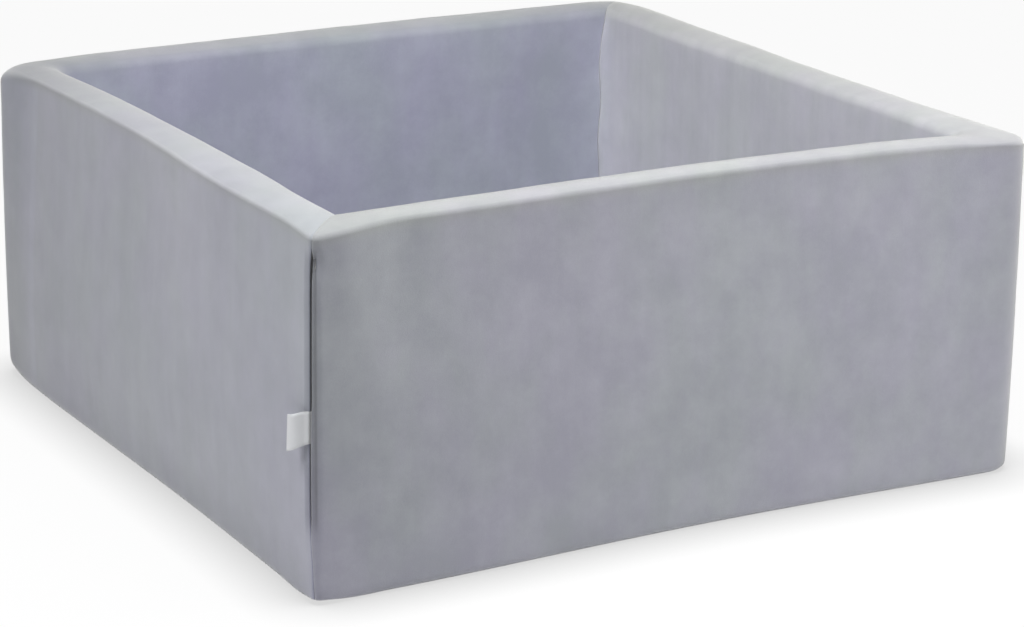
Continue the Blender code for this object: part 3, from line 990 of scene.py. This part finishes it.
def cut(bm, place, normal):
    """Cuts all faces along a plane."""
    bmesh.ops.bisect_plane(
        bm, geom=bm.verts[:] + bm.edges[:] + bm.faces[:], dist=MERGE / 10, plane_co=place, plane_no=normal)


def soften_edges(bm, radius):
    """Rounds the sharp edges."""
    bmesh.ops.bevel(
        bm, geom=[edge for edge in bm.edges if edge.calc_face_angle(0) > SHARP_ANGLE], offset=radius, segments=3,
        profile=0.5, affect="EDGES", clamp_overlap=True)


def gridded(bm, low, high, spacing):
    """Cuts a level panel into a grid that is fine enough to bend."""
    for axis in (0, 1):
        count = max(1, round((high[axis] - low[axis]) / spacing))
        normal = Vector((axis == 0, axis == 1, 0))
        for place in spread(low[axis], high[axis], count - 1):
            cut(bm, normal * place, normal)
    return bm


def panel_piece(name, node, spacing, raise_by, nap=0.4):
    """A level cloth panel with its CAD node's outline, raised at each point by what a function says."""
    bm = gridded(node_mesh(node), *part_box(node), spacing)
    lying = bm.verts.layers.float.new("nap")
    cloth = bm.loops.layers.uv.new("Cloth")
    for face in bm.faces:
        for loop in face.loops:
            loop[cloth].uv = loop.vert.co.xy
    for vert in bm.verts:
        vert.co.z += raise_by(vert.co)
        vert[lying] = nap
    piece = add_piece(name, bm, "Velvet")
    piece.data.set_sharp_from_angle(angle=SHARP_ANGLE)
    attach(piece, "pit", "velvet", node)
    return piece


def floor_rise(place):
    """The floor's velvet is softly crowned, drawn down at its edges and slightly uneven."""
    edge = max(0, min(FLOOR_HIGH.x - abs(place.x), place.y - FLOOR_LOW.y, FLOOR_HIGH.y - place.y))
    rounding = FLOOR_EDGE * math.sqrt(min(1, edge / FLOOR_EDGE_WIDE))
    crown = FLOOR_CROWN * smooth(edge, 0, 0.10) + rounding - FLOOR_SUNK
    return crown + FLOOR_UNEVEN * wavy(place, 8, shift=3) * smooth(edge, 0, 0.05)


def base_rise(place):
    """The underside lies flat, with shallow waves of the cloth above the ground."""
    edge = min(BASE_HIGH.x - abs(place.x), place.y - BASE_LOW.y)
    wave = BASE_WAVE * (1 + wavy(place, 14, shift=9)) * smooth(edge, 0, 0.03)
    return wave * smooth(abs(place.y - BASE_SPLIT), 0.002, 0.03) + corner_lift(place)


def cover_surface():
    """The outside of both sleeves as one surface that can be searched."""
    bm = bmesh.new()
    for half_turn in (False, True):
        placed, _, columns, _ = sleeve_sheet(half_turn)
        flat = [column for column, (_, depth) in zip(placed, columns) if not depth]
        verts = [[bm.verts.new(point) for point in column] for column in flat]
        for left, right in zip(verts, verts[1:]):
            for (a, b), (c, d) in zip(zip(left, left[1:]), zip(right, right[1:])):
                bm.faces.new((a, c, d, b))
    bm.normal_update()
    surface = BVHTree.FromBMesh(bm)
    bm.free()
    return surface


def make_board(name, node, surface):
    """A foam board or pad with softened edges, kept inside the cover."""
    sizes = bpy.context.scene.pit_foam
    bm = node_mesh(node)
    piece = add_piece(name, bm, "Foam")
    remesh = piece.modifiers.new("Remesh", "REMESH")
    remesh.mode = "VOXEL"
    remesh.voxel_size = sizes.cell
    apply_modifiers(piece)
    bm = bmesh.new()
    bm.from_mesh(piece.data)
    for _ in range(2):
        bmesh.ops.smooth_vert(bm, verts=bm.verts, factor=0.5, use_axis_x=True, use_axis_y=True, use_axis_z=True)
    seam_from = HALF_X - bpy.context.scene.pit_cover.wall - sizes.cell
    for vert in bm.verts:
        vert.co.z += corner_lift(vert.co)
        spot, normal, _, _ = surface.find_nearest(vert.co, sizes.cell * 3)
        across, along = abs(vert.co.x), abs(vert.co.y)
        below = sizes.below_cover
        if vert.co.x * vert.co.y > 0 and min(across, along) > seam_from:
            below += sizes.below_seam * (1 - smooth(abs(across - along), *SEAM_BAND))
        if spot and (vert.co - spot).dot(normal) > -below:
            vert.co = spot - normal * below
    bm.to_mesh(piece.data)
    bm.free()
    piece.data.shade_smooth()
    attach(piece, "pit", "foam", node)


class PIT_OT_foam(bpy.types.Operator):
    """Makes the four foam boards and the floor pad"""

    bl_idname = "pit.make_foam"
    bl_label = "Make the foam"

    def execute(self, context):
        surface = cover_surface()
        for wall in ("front", "back", "left", "right"):
            make_board(wall.capitalize() + "_board", wall + "_wall_foam", surface)
        make_board("Floor_pad", "floor_foam", surface)
        return {"FINISHED"}


class PIT_OT_floor(bpy.types.Operator):
    """Makes the velvet over the floor pad"""

    bl_idname = "pit.make_floor"
    bl_label = "Make the floor"

    def execute(self, context):
        piece = panel_piece("Floor_pad_cover", "floor_cover", FLOOR_SPACING, floor_rise)
        for vert in piece.data.vertices:
            vert.co.xy *= FLOOR_OVERLAP
        return {"FINISHED"}


class PIT_OT_base(bpy.types.Operator):
    """Makes the two panels under the pit, with the stitches beside their zip"""

    bl_idname = "pit.make_base"
    bl_label = "Make the underside"

    def execute(self, context):
        for side in ("front", "back"):
            panel_piece("Base_panel_" + side, "base_cover_" + side, BASE_SPACING, base_rise)
        make_stitches()
        return {"FINISHED"}


# What Geometry Nodes repeat

def new_tree(name, material, **sizes):
    """A tree with named length inputs that ends in Realize Instances and Set Material."""
    tree = bpy.data.node_groups.new(name, "GeometryNodeTree")
    for size, value in sizes.items():
        socket = tree.interface.new_socket(size, in_out="INPUT", socket_type="NodeSocketFloat")
        socket.default_value = value
    tree.interface.new_socket("Geometry", in_out="OUTPUT", socket_type="NodeSocketGeometry")
    given = tree.nodes.new("NodeGroupInput")

    def finish_with(geometry):
        real = add_node(tree, "GeometryNodeRealizeInstances", {"Geometry": geometry})
        coated = add_node(
            tree, "GeometryNodeSetMaterial", {"Geometry": real.outputs[0], "Material": finish(material)})
        add_node(tree, "NodeGroupOutput", {"Geometry": coated.outputs[0]})
        return tree

    return tree, given.outputs, finish_with


def grown(name, tree, place, **sizes):
    """The plain mesh that a tree makes for these sizes, set in its place."""
    piece = new_object(name, bpy.data.meshes.new(name))
    step = piece.modifiers.new(tree.name, "NODES")
    step.node_group = tree
    for socket in tree.interface.items_tree:
        if socket.in_out == "INPUT" and socket.name in sizes:
            step[socket.identifier] = sizes[socket.name]
    apply_modifiers(piece)
    piece.data.transform(place)
    piece.data.shade_smooth()
    return piece


def thread_along(tree, curve, radius):
    """A thread of five sides along a curve, closed at its ends."""
    ring = add_node(tree, "GeometryNodeCurvePrimitiveCircle", {"Resolution": 5, "Radius": radius})
    return add_node(tree, "GeometryNodeCurveToMesh", {
        "Curve": curve, "Profile Curve": ring.outputs[0], "Fill Caps": True}).outputs[0]


def coil_tree():
    """One side of a nylon coil: a flattened spring of round wire."""
    tree, given, finish_with = new_tree(
        "Coil", "Nylon_coil", Length=0.3, Wide=0.002, High=0.002, Turn=0.0013, Wire=0.00028)
    spiral = add_node(tree, "GeometryNodeCurveSpiral", {
        "Resolution": 9, "Rotations": math_node(tree, "DIVIDE", given["Length"], given["Turn"]),
        "Start Radius": 0.5, "End Radius": 0.5, "Height": given["Length"]})
    wide, high = (math_node(tree, "MULTIPLY_ADD", given["Wire"], -2.0, given[size]) for size in ("Wide", "High"))
    shape = add_node(tree, "ShaderNodeCombineXYZ", {"X": high, "Y": wide, "Z": 1.0})
    flat = add_node(tree, "GeometryNodeTransform", {"Geometry": spiral.outputs[0], "Scale": shape.outputs[0]})
    return finish_with(thread_along(tree, flat.outputs[0], given["Wire"]))


def stitch_tree():
    """A straight row of stitches, each a short arched thread."""
    tree, given, finish_with = new_tree(
        "Stitches", "Thread", Length=0.7, Step=0.0034, Stitch=0.0026, Arch=0.0004, Thread=0.00022)
    half = math_node(tree, "MULTIPLY", given["Stitch"], 0.5)
    step, top, end = (add_node(tree, "ShaderNodeCombineXYZ", reach).outputs[0] for reach in (
        {"X": given["Step"]}, {"X": half, "Z": given["Arch"]}, {"X": given["Stitch"]}))
    row = add_node(tree, "GeometryNodeMeshLine", {
        "Count": math_node(tree, "DIVIDE", given["Length"], given["Step"]), "Offset": step})
    bow = add_node(tree, "GeometryNodeCurveQuadraticBezier", {
        "Resolution": 5, "Start": (0, 0, 0), "Middle": top, "End": end})
    placed = add_node(tree, "GeometryNodeInstanceOnPoints", {
        "Points": row.outputs[0], "Instance": thread_along(tree, bow.outputs[0], given["Thread"])})
    return finish_with(placed.outputs[0])


def make_stitches():
    """A row of stitches on each side of the zip under the pit."""
    sizes = bpy.context.scene.pit_zips
    tree = stitch_tree()
    long = BASE_HIGH.x - BASE_LOW.x - 2 * sizes.stitch_inset
    for name, side in (("front", -1), ("back", 1)):
        place = Matrix.Translation((-long / 2, BASE_SPLIT + side * sizes.stitch_off, sizes.stitch_sunk))
        piece = grown("Base_stitches_" + name, tree, place, Length=long, Arch=-sizes.stitch_sunk)
        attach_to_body(piece, "pit")


# Zips

# A tape's mesh, thickness, cord and wavy outer edge
TAPE_STEP = 0.003
TAPE_COLUMNS = 8
TAPE_THICK = 0.00034
CORD = (0.00012, 0.12, 0.10)
TAPE_WAVE = 0.0001

# What a coil leaves free at each end, then the shares of a stop's and a slider's length at which they are cut, and
# how much they are narrowed and rounded
COIL_END = 0.0003
STOP_CUTS = (0.3, 0.5, 0.7)
STOP_WAIST = (0.5, 0.2)
STOP_DENT = 0.16
STOP_NARROW = 0.06
STOP_ROUND = 0.18
SLIDER_CUTS = (0.08, 0.2, 0.35, 0.5, 0.65, 0.8, 0.92)
SLIDER_FLANK = 0.9
SLIDER_TAIL = 0.20
SLIDER_HEAD = 0.06
SLIDER_ROUND = 0.00032


def zip_axes(prefix):
    """A zip's own axes from its CAD tapes: into the foam, across the slit, and along it from where it starts."""
    left_low, left_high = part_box(prefix + "_left_tape")
    right_low, right_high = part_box(prefix + "_right_tape")
    low = Vector(map(min, left_low, right_low))
    high = Vector(map(max, left_high, right_high))
    middle = (low + high) / 2
    if prefix == "base_zip":
        depth, across, along, start_x = (0, 0, 1), (0, -1, 0), (1, 0, 0), low.x
    else:
        side = 1 if middle.x < 0 else -1
        depth, across, along, start_x = (side, 0, 0), (0, side, 0), (0, 0, 1), low.x if side > 0 else high.x
    turn = Matrix((depth, across, along)).transposed().to_4x4()
    return Matrix.Translation((start_x, middle.y, low.z)) @ turn


def own_box(node, place):
    """A CAD node's box in a zip's own axes."""
    points = [place.inverted() @ vert.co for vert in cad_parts[node].data.vertices]
    return [Vector([pick(point[axis] for point in points) for axis in range(3)]) for pick in (min, max)]


def make_tape(prefix, side, place):
    """A woven tape with a fine cord woven in at its inner edge, and a little wave in its outer edge."""
    node = f"{prefix}_{side}_tape"
    low, high = own_box(node, place)
    inner, outer = (low.y, high.y) if side == "left" else (high.y, low.y)
    rows = max(2, round((high.z - low.z) / TAPE_STEP))
    heights = [low.z + (high.z - low.z) * row / rows for row in range(rows + 1)]
    points, uvs = [], []
    for column in range(TAPE_COLUMNS + 1):
        share = column / TAPE_COLUMNS
        across = inner + (outer - inner) * share
        inward = low.x + 2 * CORD[0] - marked(share, CORD)
        points.append([
            Vector((inward + TAPE_WAVE * math.sin(z * 160 + share * 2) * share, across, z)) for z in heights])
        uvs.append([(across, z) for z in heights])
    if side == "left":
        points.reverse()
        uvs.reverse()
    piece = grid_piece(f"{prefix.capitalize()}_{side}_tape", points, uvs, "Zip_tape")
    thicken(piece, TAPE_THICK)
    piece.data.transform(place)
    attach(piece, "pit", "zip_tape", node)


def make_coil(prefix, side, place, tree):
    """The nylon coil that is sewn along one tape."""
    node = f"{prefix}_{side}_coil"
    low, high = own_box(node, place)
    foot = Vector(((low.x + high.x) / 2, (low.y + high.y) / 2, low.z + COIL_END))
    turn = Matrix.Rotation(math.pi if side == "left" else 0, 4, "Z")
    piece = grown(
        f"{prefix.capitalize()}_{side}_coil", tree, place @ Matrix.Translation(foot) @ turn,
        Length=high.z - low.z - 2 * COIL_END, Wide=high.y - low.y, High=high.x - low.x)
    attach(piece, "pit", "zip_coil", node)


def make_stop(prefix, end, place):
    """A metal clamp that is pressed round both tapes' edges."""
    node = f"{prefix}_{end}_stop"
    low, high = own_box(node, place)
    size = high - low
    bm = bmesh.new()
    bmesh.ops.create_cube(bm, size=1)
    for vert in bm.verts:
        vert.co = (low + high) / 2 + Vector(a * b for a, b in zip(size, vert.co))
    for share in STOP_CUTS:
        cut(bm, low + size * share, (0, 0, 1))
    for vert in bm.verts:
        waist = bell((vert.co.z - low.z) / size.z, *STOP_WAIST)
        if vert.co.x < (low.x + high.x) / 2:
            vert.co.x += size.x * STOP_DENT * waist
        vert.co.y *= 1 - STOP_NARROW * waist
    soften_edges(bm, size.x * STOP_ROUND)
    piece = add_piece(f"{prefix.capitalize()}_{end}_stop", bm, "Zip_metal")
    piece.data.transform(place)
    attach(piece, "pit", "zip_metal", node)


def make_slider(prefix, place):
    """The slider: a plate behind the coils with turned in flanks, and a diamond neck that parts them."""
    node = f"{prefix}_slider"
    bm = node_mesh(node)
    bm.transform(place.inverted())
    low, high = own_box(node, place)
    middle, half = (low.z + high.z) / 2, (high.z - low.z) / 2
    for share in SLIDER_CUTS:
        cut(bm, (0, 0, low.z + 2 * half * share), (0, 0, 1))
    for vert in bm.verts:
        reach = (vert.co.z - middle) / half
        if abs(vert.co.y) > high.y * SLIDER_FLANK:
            vert.co.y *= 1 - SLIDER_TAIL * smooth(-reach, 0.1, 1) - SLIDER_HEAD * smooth(reach, 0.7, 1)
    soften_edges(bm, SLIDER_ROUND)
    bm.transform(place)
    piece = add_piece(prefix.capitalize() + "_slider", bm, "Zip_metal")
    attach(piece, prefix.replace("_zip", "") + "_slider", "zip_metal", node)


class PIT_OT_zips(bpy.types.Operator):
    """Makes the three zips: tapes, coils, stops and sliders"""

    bl_idname = "pit.make_zips"
    bl_label = "Make the zips"

    def execute(self, context):
        tree = coil_tree()
        for prefix in ZIPS:
            place = zip_axes(prefix)
            for side in ("left", "right"):
                make_tape(prefix, side, place)
                make_coil(prefix, side, place, tree)
            for end in ("top", "bottom"):
                make_stop(prefix, end, place)
            make_slider(prefix, place)
        return {"FINISHED"}


# The ribbon label

# Steps along the ribbon that the slit holds, along the free part and round its fold, and rows across it
HELD_STEPS = 4
FREE_STEPS = 16
FOLD_STEPS = 6
LABEL_ROWS = 12

# In plan, the ribbon's root and mouth from the slit on the wall's face, its bend and its wave
LABEL_ROOT = Vector((0.0042, 0.0010))
LABEL_MOUTH = Vector((-0.0004, 0.0014))
LABEL_KNEE = Vector((-0.0040, -0.0044))
LABEL_WAVE = Vector((0.0013, 0.0011))
LABEL_CLEAR = 0.0008

# The loop's share of its width in the slit and the steps until it's open, and the ribbon's height and spread there
LOOP_START = 0.35
LOOP_STEPS = 6
ROOT_HIGH = 0.91
LABEL_SPREAD = 0.03


def label_line(root, mouth, tip):
    """The ribbon's middle line in plan: straight in the slit, then in a soft wave to the fold."""
    knee = mouth.lerp(tip, 0.45) + LABEL_KNEE
    places = [root.lerp(mouth, step / HELD_STEPS) for step in range(HELD_STEPS)]
    for step in range(FREE_STEPS + 1):
        share = step / FREE_STEPS
        wave = LABEL_WAVE * math.sin(2 * math.pi * share)
        places.append(mouth * (1 - share) ** 2 + knee * 2 * share * (1 - share) + tip * share ** 2 + wave)
    return places


def label_loop(places, radius):
    """The ribbon in plan, out along one side of its middle line, round the fold and back, with the line's steps."""
    last = len(places) - 1
    sides = []
    for side in (1, -1):
        sides.append([])
        for index, place in enumerate(places):
            ahead = places[min(index + 1, last)] - places[max(index - 1, 0)]
            away = Vector((ahead.y, -ahead.x)).normalized() * side
            opened = LOOP_START + (1 - LOOP_START) * min(1, index / LOOP_STEPS)
            sides[-1].append((index, place + away * radius * opened))
    ahead = (places[-1] - places[-2]).normalized()
    across = Vector((ahead.y, -ahead.x))
    fold = []
    for step in range(1, FOLD_STEPS):
        angle = math.pi * step / FOLD_STEPS
        fold.append((last, places[-1] + (across * math.cos(angle) + ahead * math.sin(angle)) * radius))
    return sides[0] + fold + sides[1][::-1]


def make_label():
    """A satin ribbon folded in a loop, held in the slit and drooping at its fold."""
    sizes = bpy.context.scene.pit_label
    slit_y = bpy.context.scene.pit_seams.back + seam_line(sizes.middle) - HALF_Y
    slit = Vector((-HALF_X, slit_y))
    mouth = slit + LABEL_MOUTH
    tip = mouth + Vector((LABEL_LOW.x + HALF_X + LABEL_CLEAR, sizes.long))
    places = label_line(slit + LABEL_ROOT, mouth, tip)
    loop = label_loop(places, sizes.fold)
    points, uvs = [], []
    travelled, last = 0, loop[0][1]
    for index, plan in loop:
        travelled += (plan - last).length
        last = plan
        reach = max(0, index - HELD_STEPS + 1) / (len(places) - HELD_STEPS)
        column = []
        for row in range(LABEL_ROWS + 1):
            up = 2 * row / LABEL_ROWS - 1
            sink = (sizes.droop + sizes.flare * (1 - up)) * reach ** 1.5
            flare = (plan - mouth) * LABEL_SPREAD * (1 - up) * reach
            half = sizes.high / 2 * (ROOT_HIGH + (1 - ROOT_HIGH) * reach)
            column.append(Vector((plan.x + flare.x, plan.y + flare.y, sizes.middle + half * up - sink)))
        points.append(column)
        uvs.append([(travelled, sizes.high * row / LABEL_ROWS) for row in range(LABEL_ROWS + 1)])
    piece = grid_piece("Ribbon_label", points, uvs, "Satin")
    thicken(piece, sizes.thick, offset=0)
    attach(piece, "pit", "satin", "ribbon_label")


class PIT_OT_label(bpy.types.Operator):
    """Makes the folded ribbon label"""

    bl_idname = "pit.make_label"
    bl_label = "Make the label"

    def execute(self, context):
        make_label()
        return {"FINISHED"}


# Floor, light and camera

# The camera as fitted, and the ground's depth under the pit and half its side
CAMERA_PLACE = (-1.7233, -3.1075, 1.2076)
CAMERA_AZIMUTH = math.radians(-29.459)
CAMERA_ELEVATION = math.radians(16.870)
CAMERA_ROLL = math.radians(0.661)
PHOTO_WIDTH_PX = 1024
FOCAL_PX = 3096.3
SENSOR_MM = 36.0
GROUND_BELOW = 0.0002
GROUND_HALF = 12

# Each soft box as its place, the point it faces, its side and the setting for its power
LAMPS = {
    "Over_lamp": ((0.02, -0.61, 1.6), (0.02, -0.50, 0.3), 0.95, "over"),
    "High_left_lamp": ((-1.9, -0.5, 2.0), (-0.3, -0.1, 0.2), 1.2, "left_high"),
    "Far_left_lamp": ((-2.4, 0.3, 1.2), (-0.3, 0, 0.2), 1.4, "left_far"),
    "Right_lamp": ((1.15, -1.15, 0.55), (0.35, -0.45, 0.2), 0.55, "right"),
}


def make_camera():
    """The camera that took the photograph, as fitted to the pit's corners."""
    back = Vector((
        math.sin(CAMERA_AZIMUTH) * math.cos(CAMERA_ELEVATION),
        -math.cos(CAMERA_AZIMUTH) * math.cos(CAMERA_ELEVATION),
        math.sin(CAMERA_ELEVATION)))
    level = Vector((math.cos(CAMERA_AZIMUTH), math.sin(CAMERA_AZIMUTH), 0))
    above = back.cross(level)
    right = level * math.cos(CAMERA_ROLL) + above * math.sin(CAMERA_ROLL)
    up = above * math.cos(CAMERA_ROLL) - level * math.sin(CAMERA_ROLL)
    data = bpy.data.cameras.new("Camera")
    data.sensor_width = SENSOR_MM
    data.lens = FOCAL_PX / PHOTO_WIDTH_PX * SENSOR_MM
    camera = new_object("Camera", data)
    turn = Matrix((right, up, back)).transposed().to_4x4()
    camera.matrix_world = Matrix.Translation(CAMERA_PLACE) @ turn
    bpy.context.scene.camera = camera


def add_lamp(name, place, target, size, power):
    """A square soft box that faces a point."""
    data = bpy.data.lights.new(name, "AREA")
    data.size = size
    data.energy = power
    lamp = new_object(name, data)
    way = (Vector(target) - Vector(place)).to_track_quat("-Z", "Y")
    lamp.matrix_world = Matrix.Translation(place) @ way.to_matrix().to_4x4()
    lamp.visible_camera = False


def seen_ray(tree):
    """1 for what the camera, a mirror or a glass shows of the backdrop, 0 for the light that it sends."""
    path = add_node(tree, "ShaderNodeLightPath")
    seen = path.outputs["Is Camera Ray"]
    for name in ("Is Glossy Ray", "Is Transmission Ray"):
        seen = math_node(tree, "MAXIMUM", seen, path.outputs[name])
    return seen


def make_world(strength):
    """Even light from all sides, seen as plain white."""
    world = bpy.data.worlds.new("Studio")
    world.use_nodes = True
    tree = world.node_tree
    tree.nodes.clear()
    light = add_node(tree, "ShaderNodeBackground", {"Color": (1, 1, 1, 1), "Strength": strength})
    white = add_node(tree, "ShaderNodeBackground", {"Color": (1, 1, 1, 1), "Strength": 1.0})
    mix = add_node(tree, "ShaderNodeMixShader", {0: seen_ray(tree), 1: light.outputs[0], 2: white.outputs[0]})
    add_node(tree, "ShaderNodeOutputWorld", {"Surface": mix.outputs[0]})
    bpy.context.scene.world = world


def make_ground():
    """A pale floor, nearly white to the camera, with a painted shadow as a soft dark line where the pit stands on it.
    """
    bm = bmesh.new()
    bmesh.ops.create_grid(bm, x_segments=2, y_segments=2, size=GROUND_HALF)
    material = bpy.data.materials.new("Ground")
    material.use_nodes = True
    tree = material.node_tree
    tree.nodes.clear()
    plain = add_node(tree, "ShaderNodeBsdfDiffuse", {"Color": (0.80, 0.80, 0.80, 1)})
    # Painted shadow: ambient occlusion near the pit darkens the floor's glow
    near = add_node(tree, "ShaderNodeAmbientOcclusion", {"Distance": 0.075}, samples=16)
    shade = ranged(tree, near.outputs["AO"], From_Min=0.45, From_Max=1.0, To_Min=0.70, To_Max=1.0)
    glow = add_node(tree, "ShaderNodeEmission", {"Color": shade, "Strength": 1.0})
    shown = add_node(tree, "ShaderNodeMixShader", {0: 0.95, 1: plain.outputs[0], 2: glow.outputs[0]})
    mix = add_node(tree, "ShaderNodeMixShader", {0: seen_ray(tree), 1: plain.outputs[0], 2: shown.outputs[0]})
    add_node(tree, "ShaderNodeOutputMaterial", {"Surface": mix.outputs[0]})
    mesh = bpy.data.meshes.new("Ground")
    bm.to_mesh(mesh)
    bm.free()
    mesh.materials.append(material)
    ground = new_object("Ground", mesh)
    ground.location.z = -GROUND_BELOW


class PIT_OT_stage(bpy.types.Operator):
    """Makes the floor, the lamps and the camera"""

    bl_idname = "pit.make_stage"
    bl_label = "Make the stage"

    def execute(self, context):
        stage = context.scene.pit_stage
        context.scene.view_settings.view_transform = "Standard"
        make_camera()
        make_world(stage.sky)
        make_ground()
        for name, (place, target, side, power) in LAMPS.items():
            add_lamp(name, place, target, side, getattr(stage, power))
        return {"FINISHED"}


class PIT_PT_panel(bpy.types.Panel):
    """Lists the steps that build the pit"""

    bl_label = "Play pit"
    bl_idname = "PIT_PT_panel"
    bl_space_type = "VIEW_3D"
    bl_region_type = "UI"
    bl_category = "Play pit"

    def draw(self, context):
        for group in GROUPS:
            box = self.layout.box()
            settings = getattr(context.scene, group)
            for name in settings.__annotations__:
                box.prop(settings, name, text=name.replace("_", " ").capitalize())
        for operator in OPERATORS:
            self.layout.operator(operator.bl_idname)


GROUPS = {
    "pit_cover": CoverSizes, "pit_seams": SeamSizes, "pit_foam": FoamSizes,
    "pit_zips": ZipSizes, "pit_label": LabelSizes,
    "pit_colours": PitColours, "pit_stage": StageSettings,
}
OPERATORS = (PIT_OT_stage, PIT_OT_cover, PIT_OT_foam, PIT_OT_floor, PIT_OT_base, PIT_OT_zips, PIT_OT_label)


def register():
    for name, group in GROUPS.items():
        bpy.utils.register_class(group)
        setattr(bpy.types.Scene, name, PointerProperty(type=group))
    for operator in OPERATORS:
        bpy.utils.register_class(operator)
    bpy.utils.register_class(PIT_PT_panel)


def unregister():
    bpy.utils.unregister_class(PIT_PT_panel)
    for operator in reversed(OPERATORS):
        bpy.utils.unregister_class(operator)
    for name, group in reversed(GROUPS.items()):
        delattr(bpy.types.Scene, name)
        bpy.utils.unregister_class(group)


def main():
    """Builds everything in order."""
    register()
    bpy.ops.pit.make_stage()
    bpy.ops.pit.make_cover()
    bpy.ops.pit.make_foam()
    bpy.ops.pit.make_floor()
    bpy.ops.pit.make_base()
    bpy.ops.pit.make_zips()
    bpy.ops.pit.make_label()


if __name__ == "__main__":
    main()
